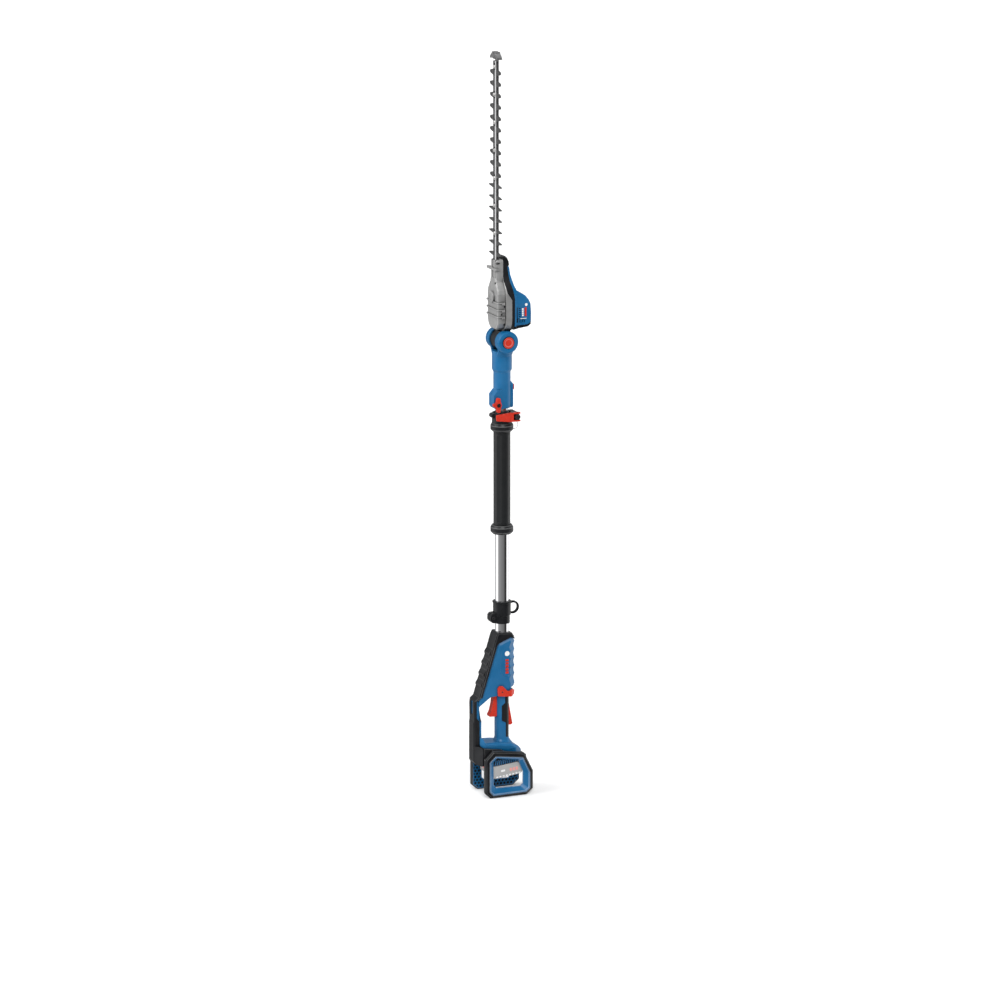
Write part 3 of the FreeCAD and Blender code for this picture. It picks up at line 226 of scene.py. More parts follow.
BLADE_HALF = 24
BLADE_LANDS = [(0.0, 0.10), (0.305, 0.10), (0.325, 0.9), (0.46, 1.0), (0.49, 0.08), (0.69, 0.06), (0.72, 0.16),
               (1.0, 0.05)]


def blade_metal(name, colour):
    """Hardened blade: one bright ground land along the bar, a dark land beside it and blued teeth."""
    n = Nodes(name)
    place = n.add("ShaderNodeSeparateXYZ")
    n.link(n.coords, place.inputs["Vector"])
    across = n.add("ShaderNodeMapRange")
    across.inputs["From Min"].default_value = -BLADE_HALF * MM
    across.inputs["From Max"].default_value = BLADE_HALF * MM
    n.link(place.outputs["Y"], across.inputs["Value"])
    lands = n.ramp(across.outputs["Result"], *BLADE_LANDS)
    lines = n.noise(0.5, 4, n.stretched((1, 0.01, 1)))
    worn = n.mixed(lines, darker(colour, 0.2), lighter(colour, 0.06))
    n.link(n.mixed(1.0, lands, worn, "MULTIPLY"), n.shader.inputs["Base Color"])
    n.link(n.ramp(lines, (0.3, 0.3), (0.7, 0.42)), n.shader.inputs["Roughness"])
    n.bump(lines, 0.02)
    n.set(Metallic=0.25, Specular_IOR_Level=0.3)
    return n.material


BLUE, BLACK, RED = (0.001, 0.110, 0.270), (0.0045, 0.0052, 0.0068), (0.52, 0.022, 0.006)
# slot: maker, colour, how much paler the painted highlight on the rounded edges is, and the maker's other values
MAKERS = {
    "polished_tube": (drawn_tube, (0.86, 0.86, 0.88), 0.0, {"roughness": 0.10}),
    "inner_pole": (drawn_tube, (0.62, 0.62, 0.64), 0.0, {"roughness": 0.24}),
    "black_rubber": (rubbery, (0.010, 0.011, 0.012), 0.03, {}),
    "black_plastic": (moulded, BLACK, 0.075, {"rough": (0.32, 0.36), "depth": 0.02, "specular": 0.20}),
    "blue_plastic": (moulded, BLUE, 0.24, {"rough": (0.33, 0.37), "depth": 0.02, "specular": 0.28}),
    "red_plastic": (moulded, RED, 0.10, {"rough": (0.26, 0.38), "specular": 0.2}),
    "pale_plastic": (moulded, (0.38, 0.375, 0.37), 0.65, {}),
    "pink_plastic": (moulded, (0.75, 0.30, 0.27), 0.2, {}),
    "cast_aluminium": (cast_metal, (0.33, 0.33, 0.328), 0.75, {}),
    "blade_steel": (blade_metal, (0.62, 0.62, 0.63), 0.9, {}),
    "bar_steel": (ground_steel, (0.30, 0.30, 0.305), 0.40, {"across": (1, 1, 0.01)}),
    "bolt_steel": (ground_steel, (0.72, 0.71, 0.69), 0.3, {"across": (1, 1, 1)}),
    "black_screws": (moulded, (0.02, 0.02, 0.022), 0.10, {"rough": (0.3, 0.4)}),
    "contact_brass": (ground_steel, (0.78, 0.58, 0.28), 0.2, {"across": (1, 1, 1)}),
    "motor_steel": (ground_steel, (0.25, 0.26, 0.28), 0.2, {"across": (60, 1, 1)}),
    "gear_steel": (ground_steel, (0.5, 0.5, 0.5), 0.2, {"across": (1, 1, 1)}),
    "board_green": (moulded, (0.03, 0.16, 0.07), 0.1, {}),
}
MATERIALS = {slot: maker(slot, colour, **extra) for slot, (maker, colour, _, extra) in MAKERS.items()}
# paler copies of each slot's material: a painted highlight along the rounded edges
EDGE_HIGHLIGHTS = {slot: maker(slot + "_edges", lighter(colour, paler), **extra)
          for slot, (maker, colour, paler, extra) in MAKERS.items()}
LOOKS_LIKE = {"tip_guard": "bar_steel", "strap_collar_screw": "black_screws"}


def finish_with(piece, slot, node=None):
    """The slot's plain material and its paler one of painted edge highlight on a piece, or another slot's where
    LOOKS_LIKE names its node.
    """
    look = LOOKS_LIKE.get(node, slot)
    piece.data.materials.clear()
    piece.data.materials.append(MATERIALS[look])
    piece.data.materials.append(EDGE_HIGHLIGHTS[look])


# ---------------------------------------------------------------- outlines and forms, in millimetres
PLACE = {
    "X": lambda a, b, level: Vector((level, a, b)),
    "Y": lambda a, b, level: Vector((a, level, b)),
    "Z": lambda a, b, level: Vector((a, b, level)),
}


def rounded(points, radius, steps=8):
    """An outline with every corner rounded by an arc as far as its sides allow."""
    result = []
    for i, point in enumerate(points):
        corner = Vector(point)
        before = Vector(points[i - 1]) - corner
        after = Vector(points[(i + 1) % len(points)]) - corner
        half = min(max(before.angle(after) / 2, 0.01), math.pi / 2 - 0.001)
        trim = min(0.45 * before.length, 0.45 * after.length, radius / math.tan(half))
        middle = (before.normalized() + after.normalized()).normalized()
        centre = corner + middle * trim / math.cos(half)
        start = corner + before.normalized() * trim - centre
        turn = math.copysign(math.pi - 2 * half, before.x * after.y - before.y * after.x)
        for step in range(steps + 1):
            angle = -turn * step / steps
            cos, sin = math.cos(angle), math.sin(angle)
            result.append(centre + Vector((start.x * cos - start.y * sin, start.x * sin + start.y * cos)))
    return result


def inset(points, amount):
    """An outline with every side moved inwards, by one amount or by one for each side."""
    count = len(points)
    amounts = amount if isinstance(amount, list) else [amount] * count
    area = sum(points[i - 1][0] * points[i][1] - points[i][0] * points[i - 1][1] for i in range(count))
    sides = []
    for i in range(count):
        start, end = Vector(points[i]), Vector(points[(i + 1) % count])
        along = (end - start).normalized()
        inwards = Vector((-along.y, along.x)) * math.copysign(1, area)
        sides.append((start + inwards * amounts[i], along))
    moved = []
    for (p, u), (q, v) in zip(sides[-1:] + sides[:-1], sides):
        turn = u.x * v.y - u.y * v.x
        if abs(turn) > 1e-4:
            reach = ((q - p).x * v.y - (q - p).y * v.x) / turn
            moved.append(tuple(p + u * reach))
        else:
            moved.append(tuple(q))
    return moved


def through(rings, closed=False):
    """A closed mesh through rings of equal length: capped at both ends, or joined end to end."""
    bm = bmesh.new()
    rows = [[bm.verts.new(Vector(p) * MM) for p in ring] for ring in rings]
    for low, high in zip(rows, rows[1:] + rows[:1] if closed else rows[1:]):
        for i in range(len(low)):
            bm.faces.new((low[i - 1], low[i], high[i], high[i - 1]))
    if not closed:
        bm.faces.new(rows[0])
        bm.faces.new(rows[-1])
    bmesh.ops.remove_doubles(bm, verts=bm.verts, dist=1e-6)
    bmesh.ops.recalc_face_normals(bm, faces=bm.faces)
    mesh = bpy.data.meshes.new("form")
    bm.to_mesh(mesh)
    bm.free()
    return mesh


def slab(points, levels, axis="Y", radius=0.0, steps=8):
    """An outline lofted along an axis. levels are (place on the axis, inset of the outline there)."""
    rings = []
    for level, amount in levels:
        least = min(amount) if isinstance(amount, list) else amount
        ring = rounded(inset(points, amount), max(radius - least, 0.2), steps)
        rings.append([PLACE[axis](a, b, level) for a, b in ring])
    return through(rings)


def oblong(x, y):
    """The outline of a rectangle between two places on each of its axes."""
    return [(x[0], y[0]), (x[1], y[0]), (x[1], y[1]), (x[0], y[1])]


def box(x, y, z):
    return slab(oblong(x, y), [(z[0], 0), (z[1], 0)], "Z", 0, 1)


def symmetric(levels):
    """Levels of a slab's one half, from its face inwards, and their mirror image."""
    return levels + [(-level, amount) for level, amount in reversed(levels)]


def lathe(profile, centre, axis="Z", steps=48, closed=False):
    """A form turned about an axis through a centre, from (radius, place along the axis) pairs."""
    angles = [2 * math.pi * i / steps for i in range(steps)]
    rings = []
    for radius, height in profile:
        rings.append([Vector(centre) + PLACE[axis](radius * math.cos(a), radius * math.sin(a), height)
                      for a in angles])
    return through(rings, closed)


def merged(*meshes):
    """Several meshes in one, without joining their surfaces."""
    bm = bmesh.new()
    for mesh in meshes:
        bm.from_mesh(mesh)
    result = bpy.data.meshes.new("form")
    bm.to_mesh(result)
    bm.free()
    return result


def carved(operation, mesh, *tools):
    """Union, difference or intersection of closed meshes."""
    scene = bpy.context.scene.collection
    objects = [bpy.data.objects.new("work", each) for each in (mesh, *tools)]
    for each in objects:
        scene.objects.link(each)
    for tool in objects[1:]:
        boolean = objects[0].modifiers.new("boolean", "BOOLEAN")
        boolean.operation, boolean.solver, boolean.object = operation, "EXACT", tool
    graph = bpy.context.evaluated_depsgraph_get()
    result = bpy.data.meshes.new_from_object(objects[0].evaluated_get(graph))
    for each in objects:
        bpy.data.objects.remove(each)
    bm = bmesh.new()
    bm.from_mesh(result)
    bmesh.ops.remove_doubles(bm, verts=bm.verts, dist=5e-6)
    bmesh.ops.dissolve_limit(bm, angle_limit=math.radians(0.3), verts=bm.verts, edges=bm.edges)
    bm.to_mesh(result)
    bm.free()
    return result


# ---------------------------------------------------------------- pieces
EDGE_ANGLE, ROUNDING_STEPS = math.radians(14), 3


def add_piece(name, mesh, body, slot, replaced=None):
    """A new piece on a body, in place of a CAD node where one is named."""
    piece = bpy.data.objects.new(name, mesh)
    bpy.context.scene.collection.objects.link(piece)
    finish_with(piece, slot, replaced)
    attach(piece, body)
    if replaced:
        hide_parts(replaced)
    return piece


def rounded_edges(piece, width_mm):
    """Round every edge sharper than EDGE_ANGLE in the paler material of painted highlight and shade the rest
    smooth.
    """
    bevel = piece.modifiers.new("rounded_edges", "BEVEL")
    bevel.width = width_mm * MM
    bevel.segments = ROUNDING_STEPS
    bevel.limit_method = "ANGLE"
    bevel.angle_limit = EDGE_ANGLE
    bevel.harden_normals = True
    bevel.material = 1
    bevel.use_clamp_overlap = True
    piece.data.shade_smooth()
    return piece


def whitened(piece):
    """The slot's paler tone, made as painted edge highlight, over the whole piece as its own pale colour."""
    piece.data.materials[0] = piece.data.materials[1]
    return piece


# the tip guard shrinks towards the middle of its top
TIP = Vector((0, 0, 1889)) * MM
TIP_GUARD_SIZE = 0.64
TIP_GUARD_FIT = (Matrix.Translation(TIP) @ Matrix.Diagonal((1, TIP_GUARD_SIZE, TIP_GUARD_SIZE, 1))
                 @ Matrix.Translation(-TIP))


def refined(node, width_mm):
    """A CAD node's form again with whole flat faces and rounded edges, in place of the node."""
    mesh = frame["nodes"][node].data.copy()
    mesh.name = node + "_moulding"
    bm = bmesh.new()
    bm.from_mesh(mesh)
    bmesh.ops.remove_doubles(bm, verts=bm.verts, dist=2e-6)
    bmesh.ops.dissolve_limit(bm, angle_limit=math.radians(0.4), verts=bm.verts, edges=bm.edges)
    bm.to_mesh(mesh)
    bm.free()
    for attribute in [a.name for a in mesh.attributes if a.domain == "CORNER" and not a.is_required]:
        mesh.attributes.remove(mesh.attributes[attribute])
    if node == "tip_guard":
        mesh.transform(TIP_GUARD_FIT)
    rounded_edges(add_piece(node + "_moulding", mesh, BODY_OF[node], SLOT_OF[node], node), width_mm)


# the width of each refined node's rounded edges, in millimetres
EDGE_WIDTHS = {
    "grip_sleeve": 0.8, "upper_collar": 1.0, "lower_collar": 1.0, "strap_collar": 0.8,
    "clamp_bush": 0.6, "clamp_body": 0.9, "tension_bolt": 0.6, "clamp_lever": 0.9,
    "neck_shell_left": 0.8, "neck_shell_right": 0.8, "elbow_button": 0.8, "wing_knob": 0.9,
    "coupling_button": 0.6, "elbow_hub": 0.8, "middle_frame": 1.0, "motor_cover": 1.4,
    "upper_blade": 0.3, "lower_blade": 0.3, "guide_bar": 0.3, "blade_bolts": 0.4, "tip_guard": 0.9,
    "spine_cover": 1.0, "rear_column": 1.2, "palm_insert": 0.5, "base_bridge": 0.8,
    "battery_rail": 0.4, "battery_button": 0.6, "trigger": 1.2, "lock_lever": 0.9, "safety_yoke": 0.9,
}
REMADE = ["handle_shell_left", "handle_shell_right", "guard_frame_left", "guard_frame_right", "guard_liner_left",
          "guard_liner_right", "battery_case", "gear_case", "case_screws"]
SHARP_ANGLE = math.radians(38)
for node, width in EDGE_WIDTHS.items():
    refined(node, width)
for node, shown in frame["nodes"].items():
    if node not in EDGE_WIDTHS and node not in REMADE:
        finish_with(shown, SLOT_OF[node], node)
        shown.data.shade_smooth()
        shown.data.set_sharp_from_angle(angle=SHARP_ANGLE)


# ---------------------------------------------------------------- rear handle
WEDGE_HALF, GRIP_HALF, SHELF_HALF = 23.0, 16.0, 31.0
WEDGE_BEVEL_DEPTH = 4.2
WEDGE = [(26, 402.5), (15.3, 408), (-16.9, 395), (-21.4, 389), (-56.4, 277.6), (-70, 252), (-70, 233),
         (-38, 256), (-18, 257), (17, 253), (17, 277), (27, 278.5), (33, 285), (33, 391)]
WEDGE_BEVELS = [7.0, 7.0, 6.5, 6.5, 6.0, 2.0, 3.0, 1.5, 1.0, 1.0, 1.0, 1.0, 1.0, 4.0]
WEDGE_PLAN = [(-90, -30), (7, -30), (31, -7.5), (33, -3), (33, 3), (31, 7.5), (7, 30), (-90, 30)]
SCALLOP_SIDES = [0, 1, 1, 1, 1, 1, 0, 0]
SCALLOP_PITCH, SCALLOP_DEPTH = 21.0, 2.4
SCALLOPS_FROM, SCALLOPS_TO, SCALLOP_STEPS = 288.0, 393.0, 45
GRIP_PLAN = oblong((-18, 16), (-GRIP_HALF, GRIP_HALF))


def scalloped_palm():
    """The wedge's plan as an upright prism whose rounded palm side has five shallow scallops."""
    rings = []
    for i in range(-1, SCALLOP_STEPS + 2):
        share = min(max(i, 0), SCALLOP_STEPS) / SCALLOP_STEPS
        z = SCALLOPS_FROM + (SCALLOPS_TO - SCALLOPS_FROM) * share
        wave = SCALLOP_DEPTH * abs(math.sin(math.pi * (z - SCALLOPS_FROM) / SCALLOP_PITCH))
        z += 150 * ((i > SCALLOP_STEPS) - (i < 0))
        ring = rounded(inset(WEDGE_PLAN, [wave * side for side in SCALLOP_SIDES]), 7, 4)
        rings.append([PLACE["Z"](a, b, z) for a, b in ring])
    return through(rings)


def side_panel(side):
    """Cutter of the shallow panel in the wedge's side, which grows deeper downwards and ends in a step."""
    rim = [(-11.5, 377), (12.5, 379), (13, 306), (-6.5, 306), (-13.5, 320)]
    rings = []
    for grow, out in ((1.2, 1.5), (0.0, 0.0), (-1.4, 1.0)):
        ring = []
        for a, b in rounded(inset(rim, -grow), 5, 4):
            depth = 1.5 * (378 - b) / 72 if grow < 0 else 0.0
            ring.append((a, side * (WEDGE_HALF + (out if grow > 0 else -max(depth, 0.05))), b))
        rings.append(ring)
    return through(rings)


def wedge():
    """The upper handle: bevelled flanks, scalloped palm side and a panel in each flank."""
    levels = symmetric([(-WEDGE_HALF, WEDGE_BEVELS), (-WEDGE_HALF + WEDGE_BEVEL_DEPTH, 0)])
    body = carved("INTERSECT", slab(WEDGE, levels), scalloped_palm())
    return carved("DIFFERENCE", body, side_panel(-1), side_panel(1))


def grip():
    """Oval grip that flares at its foot into the shelf."""
    flare = [(118, -9), (131, -8.5), (133.5, -6.5), (136, -4.2), (139, -2.2), (142, -0.8), (146, 0), (256, 0)]
    return slab(GRIP_PLAN, flare, "Z", 12, 6)


def shelf():
    """The broad blue floor of the finger opening, which slopes down to the palm side."""
    side = [(-68.5, 155), (-62.5, 152), (-59, 142), (-52, 138.5), (-25, 137.5), (16, 131.5), (35, 122), (44, 112),
            (46.5, 104.3), (-10, 116.6), (-15, 120), (-63.6, 128), (-68.5, 132)]
    plan = [(-68.5, -22), (-58, -SHELF_HALF), (26, -SHELF_HALF), (46.5, -16), (46.5, 16), (26, SHELF_HALF),
            (-58, SHELF_HALF), (-68.5, 22)]
    rims = [0, 0, 3, 4, 6, 6, 5, 3, 0, 0, 0, 0, 0]
    levels = [(-SHELF_HALF, rims), (-SHELF_HALF + 3, [0.4 * rim for rim in rims]), (-SHELF_HALF + 7, 0)]
    body = carved("INTERSECT", slab(side, symmetric(levels), radius=7), slab(plan, [(90, 0), (170, 0)], "Z", 9))
    slots = [box((8, 21), (end * SHELF_HALF - 2, end * SHELF_HALF + 3), (116.5, 118)) for end in (-1, 1)]
    return carved("DIFFERENCE", body, *slots)


def inner_strip():
    """Blue edging on the inner face of the rear column."""
    low = box((-68.5, -62.5), (-16, 16), (135, 197))
    high = slab([(-76, 204), (-62.5, 190), (-62.5, 196), (-68.5, 202), (-68.5, 249), (-76, 249)],
                [(-16, 0), (16, 0)])
    return carved("UNION", low, high)


def palm_room():
    """The room that the soft palm insert fills: the outer 3 mm of the grip on the palm side."""
    side = [(2, 260), (2, 236), (-7, 229), (-7, 190), (4, 184), (4, 147), (40, 147), (40, 260)]
    outer = slab(GRIP_PLAN, [(140, -2), (260, -2)], "Z", 14, 6)
    inner = slab(GRIP_PLAN, [(100, 3), (300, 3)], "Z", 12, 6)
    return carved("INTERSECT", carved("DIFFERENCE", outer, inner), slab(side, [(-30, 0), (30, 0)], radius=2))


def handle_halves():
    """The two blue shells, split at the middle, with the slots of the trigger and the lock-off lever."""
    pole = lathe([(17.6, 300), (17.6, 450)], (0, 0, 0))
    trigger_slot = box((-34, -5), (-8.5, 8.5), (198.6, 257.5))
    lock_slot = box((5, 30), (-7.6, 7.6), (168, 236))
    body = carved("UNION", wedge(), grip(), shelf(), inner_strip())
    body = carved("DIFFERENCE", body, pole, trigger_slot, lock_slot, palm_room())
    for side, name in ((-1, "handle_shell_left"), (1, "handle_shell_right")):
        other = box((-200, 200), (0, -side * 200) if side < 0 else (-200, 0), (0, 600))
        piece = add_piece(name + "_moulding", carved("DIFFERENCE", body, other), "handle", "blue_plastic", name)
        rounded_edges(piece, 1.3)


handle_halves()


# ---------------------------------------------------------------- marks on the handle
BADGE_X, BADGE_Z, BADGE_R = 4.8, 366.3, 6.4
BARS_X, BARS_LOW, BAR_PITCH, BAR_HEIGHT, BARS = (0.4, 9.0), 314, 8, 5.8, 5
SIDES = ((-1, "left"), (1, "right"))


def blank_badge(side):
    profile = [(BADGE_R, side * (WEDGE_HALF - 1.5)), (BADGE_R, side * (WEDGE_HALF + 0.2)),
               (BADGE_R - 0.3, side * (WEDGE_HALF + 0.35))]
    return lathe(profile, (BADGE_X, 0, BADGE_Z), "Y")


def plain_bars(side):
    """An upright row of short rounded bars."""
    levels = [(side * (WEDGE_HALF - 2.2), 0), (side * (WEDGE_HALF + 0.05), 0)]
    lows = [BARS_LOW + BAR_PITCH * i for i in range(BARS)]
    return merged(*[slab(oblong(BARS_X, (z, z + BAR_HEIGHT)), levels, "Y", 1.6, 3) for z in lows])


for side, name in SIDES:
    badge = add_piece("badge_" + name, blank_badge(side), "handle", "pale_plastic")
    whitened(rounded_edges(badge, 0.1))
    rounded_edges(add_piece("red_bars_" + name, plain_bars(side), "handle", "red_plastic"), 0.1)


# ---------------------------------------------------------------- guards
GUARD_IN, GUARD_OUT = 38.5, 53.0
GUARD = [(-50, 0), (46, 0), (63.5, 15), (63.5, 61), (39.5, 110), (-43.5, 122), (-65.3, 101), (-65.3, 14)]
LINER = [(-44, 6.5), (44.6, 7.5), (56, 15.8), (56, 57), (36.5, 98.5), (-38, 109), (-54.3, 94.5), (-54.3, 17)]
WINDOW = [(-31.5, 23), (33.3, 21.5), (40, 27.5), (40, 59), (28, 89.5), (-30.5, 100), (-40, 90), (-39, 30.5)]
# the frame's outer faces stand out a little, but for the foot
GROWN = [0.0] + [-1.2] * 7
CELL, CELL_WALL, CELL_ROWS, CELL_COLUMNS = 9.4, 3.0, 15, 7


def ring_form(side, stations):
    """A closed ring through outlines of eight corners. stations are (distance from the middle, outline, inset,
    corner radius)."""
    rings = []
    for away, points, amount, radius in stations:
        rings.append([(a, side * away, b) for a, b in rounded(inset(points, amount), radius, 3)])
    return through(rings, closed=True)


def guard_frame(side):
    """Black ring of U section that holds the liner and stands on the floor."""
    return ring_form(side, [
        (GUARD_IN, GUARD, 0.0, 4), (44, GUARD, GROWN, 4), (49.5, GUARD, GROWN, 4), (52, GUARD, 1.0, 4),
        (GUARD_OUT, GUARD, 2.4, 4),
        (GUARD_OUT, LINER, -1.6, 5), (52.2, LINER, -0.3, 5), (41.7, LINER, -0.3, 5), (41.7, GUARD, 1.6, 4),
        (GUARD_IN, GUARD, 1.6, 4)])


def guard_liner(side):
    """Blue funnel with a flat lip, and the recessed inner face that carries the honeycomb."""
    return ring_form(side, [
        (52.6, LINER, 0.5, 5), (52.6, LINER, 2.6, 5), (50.8, LINER, 3.8, 5), (41.5, WINDOW, -0.4, 4),
        (GUARD_IN, WINDOW, 0.0, 4), (GUARD_IN, WINDOW, -2.0, 4), (40.9, WINDOW, -2.0, 4), (40.9, GUARD, 3.8, 4),
        (GUARD_IN, GUARD, 3.8, 4), (GUARD_IN, GUARD, 1.8, 4), (41.5, GUARD, 1.8, 4), (41.5, LINER, 0.0, 5),
        (51.8, LINER, 0.0, 5)])


def honeycomb(side):
    """Plate on the liner's inner face with rows of hexagonal pockets."""
    plate = ring_form(side, [(GUARD_IN + 0.2, GUARD, 3.0, 4), (GUARD_IN + 0.2, WINDOW, -1.2, 4),
                             (41.2, WINDOW, -1.2, 4), (41.2, GUARD, 3.0, 4)])
    corners = [math.radians(60 * k + 30) for k in range(6)]
    reach = (CELL - CELL_WALL) / math.sqrt(3)
    pockets = []
    for row in range(CELL_ROWS):
        for column in range(-CELL_COLUMNS, CELL_COLUMNS + 1):
            x, z = CELL * (column + 0.5 * (row % 2)), CELL * math.sqrt(3) / 2 * row
            hexagon = [(x + reach * math.cos(a), z + reach * math.sin(a)) for a in corners]
            levels = [(side * (GUARD_IN - 1), 0), (side * 43, 0)]
            pockets.append(slab(hexagon, levels, "Y", 0, 1))
    return carved("DIFFERENCE", plate, merged(*pockets))


def comb_shade_sheet(side):
    """Black sheet behind the honeycomb's pockets: painted shade on their floors."""
    return ring_form(side, [(GUARD_IN + 1.9, GUARD, 3.6, 4), (GUARD_IN + 1.9, WINDOW, -1.6, 4),
                            (GUARD_IN + 2.2, WINDOW, -1.6, 4), (GUARD_IN + 2.2, GUARD, 3.6, 4)])


for side, name in SIDES:
    add_piece("comb_shade_sheet_" + name, comb_shade_sheet(side), "handle", "black_plastic")
    frame_ring = add_piece("guard_frame_" + name + "_moulding", guard_frame(side), "handle", "black_plastic",
                           "guard_frame_" + name)
    liner = add_piece("guard_liner_" + name + "_moulding", guard_liner(side), "handle", "blue_plastic",
                      "guard_liner_" + name)
    comb = add_piece("guard_honeycomb_" + name, honeycomb(side), "handle", "blue_plastic")
    for piece, width in ((frame_ring, 1.0), (liner, 0.9), (comb, 0.25)):
        rounded_edges(piece, width)


# ---------------------------------------------------------------- battery bay and pack
BAY_TILT, BAY_CEILING = math.radians(6), 89.7
SKIRT_LOW, SKIRT_HIGH = BAY_CEILING - 5.4, BAY_CEILING + 9
RIBS_FROM, RIB_PITCH, RIB_WIDE, RIB_LEAN, BAY_RIBS = -37, 5.6, 2.9, 4.0, 14
PACK_HALF, PACK_X = 37.5, (-48.0, 37.5)
PACK_HIGH = BAY_CEILING - 7.0
PACK_LOW = PACK_HIGH - 34.0
TREADS, TREAD_PITCH, TREAD_WIDE = 8, 8.8, 5.4


def tilted(mesh):
    """Turn a form drawn level under the bay's ceiling to the bay's slope."""
    pivot = Vector((0, 0, BAY_CEILING)) * MM
    mesh.transform(Matrix.Translation(pivot) @ Matrix.Rotation(-BAY_TILT, 4, "Y") @ Matrix.Translation(-pivot))
    return mesh


def skirt_walls():
    """Dark sides of the bay above the pack's shoulders."""
    walls = []
    for side in (-1, 1):
        across = tuple(sorted((side * 38.2, side * 38.7)))
        walls.append(box((-38, 42), across, (SKIRT_LOW, SKIRT_HIGH)))
    return tilted(merged(*walls))


def skirt_ribs():
    """Slanted blue ribs over the skirt's walls."""
    ribs = []
    for side in (-1, 1):
        for i in range(BAY_RIBS):
            x = RIBS_FROM + RIB_PITCH * i
            rib = [(x, SKIRT_LOW), (x + RIB_WIDE, SKIRT_LOW), (x + RIB_WIDE + RIB_LEAN, SKIRT_HIGH),
                   (x + RIB_LEAN, SKIRT_HIGH)]
            ribs.append(slab(rib, [(side * 38.4, 0), (side * 40.4, 0.4)], "Y", 0, 1))
    return tilted(merged(*ribs))


def pack_body():
    """The pack's case: chamfered ends, the neck and flange that slide on the rails, and its slots."""
    x0, x1 = PACK_X
    side = [(x0 + 10, PACK_LOW), (x1 - 4, PACK_LOW), (x1, PACK_LOW + 5), (x1, PACK_HIGH - 16),
            (x1 - 9, PACK_HIGH), (x0 + 3, PACK_HIGH), (x0, PACK_HIGH - 4), (x0, PACK_LOW + 10)]
    body = slab(side, symmetric([(-PACK_HALF, 2.4), (-PACK_HALF + 1, 0.7), (-PACK_HALF + 3, 0)]), "Y", 4)
    neck = box((-34, 32), (-20.4, 20.4), (PACK_HIGH - 1, BAY_CEILING - 3))
    flange = box((-34, 32), (-24.4, 24.4), (BAY_CEILING - 4.1, BAY_CEILING - 0.7))
    slots = [box((18, 50), (y - 1.1, y + 1.1), (PACK_HIGH - 6, BAY_CEILING)) for y in (-15, -5, 5, 15)]
    button_room = box((x0 - 2, x0 + 8), (-12.4, 12.4), (PACK_HIGH - 14.4, PACK_HIGH - 3.6))
    grooves = [box((x0 + 12, x1 - 6), tuple(sorted((end * 37.1, end * 40))), (PACK_LOW + 7.2, PACK_LOW + 8.2))
               for end in (-1, 1)]
    body = carved("UNION", body, neck, flange)
    return tilted(carved("DIFFERENCE", body, button_room, *slots, *grooves))


def pack_treads():
    """Pale pads along the pack's lower edges."""
    pads = []
    for side in (-1, 1):
        outer = side * (PACK_HALF + 0.15)
        profile = [(side * 34.5, PACK_LOW - 0.4), (outer, PACK_LOW + 2.4), (outer, PACK_LOW + 6.4),
                   (side * 35.5, PACK_LOW + 6.4), (side * 33, PACK_LOW + 1)]
        for i in range(TREADS):
            x = PACK_X[0] + 13 + TREAD_PITCH * i
            pads.append(slab(profile, [(x, 0), (x + TREAD_WIDE, 0)], "X", 0.8, 2))
    return tilted(merged(*pads))


def pack_mark(x, wide, low, high, radius):
    """A plain raised mark in place of lettering, on the pack's left side."""
    outline = oblong((x, x + wide), (PACK_HIGH - low, PACK_HIGH - high))
    return slab(outline, [(-PACK_HALF - 0.3, 0.3), (-PACK_HALF + 1, 0)], "Y", radius)


add_piece("bay_skirt_walls", skirt_walls(), "handle", "black_plastic")
rounded_edges(add_piece("bay_skirt_ribs", skirt_ribs(), "handle", "blue_plastic"), 0.4)
rounded_edges(add_piece("battery_case_moulding", pack_body(), "battery", "pale_plastic", "battery_case"), 1.2)
whitened(rounded_edges(add_piece("battery_treads", pack_treads(), "battery", "pale_plastic"), 0.5))
pale_mark = tilted(pack_mark(-21, 12, 19, 13, 2.4))
pink_marks = tilted(merged(*[pack_mark(3 + 8.2 * i, 6.8, 22, 12.5, 2.6) for i in range(3)]))
whitened(rounded_edges(add_piece("battery_pale_mark", pale_mark, "battery", "pale_plastic"), 0.2))
rounded_edges(add_piece("battery_pink_mark", pink_marks, "battery", "pink_plastic"), 0.2)


# ---------------------------------------------------------------- head
CASE_FOOT, CASE_TOP, CASE_PART = 1193.0, 1374.0, 11.0
CASE_FLANK = [(19.4, CASE_FOOT), (31, CASE_FOOT + 9), (38.5, CASE_FOOT + 21), (40, CASE_FOOT + 34), (40, 1290),
              (36, 1302), (23, 1320), (18.5, 1334)]
CASE_BODY = CASE_FLANK + [(-y, z) for y, z in reversed(CASE_FLANK)]
CASE_SIDE = [(-30, CASE_FOOT - 5), (CASE_PART, CASE_FOOT - 5), (CASE_PART, 1274), (-1, 1292), (-4.5, 1318),
             (-4.5, 1380), (-30, 1380)]
NECK_HALF = 18.5
RIBS = (1268, 1250, 1232.5)
FRONT_SCREWS = [(15.5, 1364), (15.5, 1315)]
RIM_SCREWS = [(33, 1213), (34, 1258), (31, 1290)]


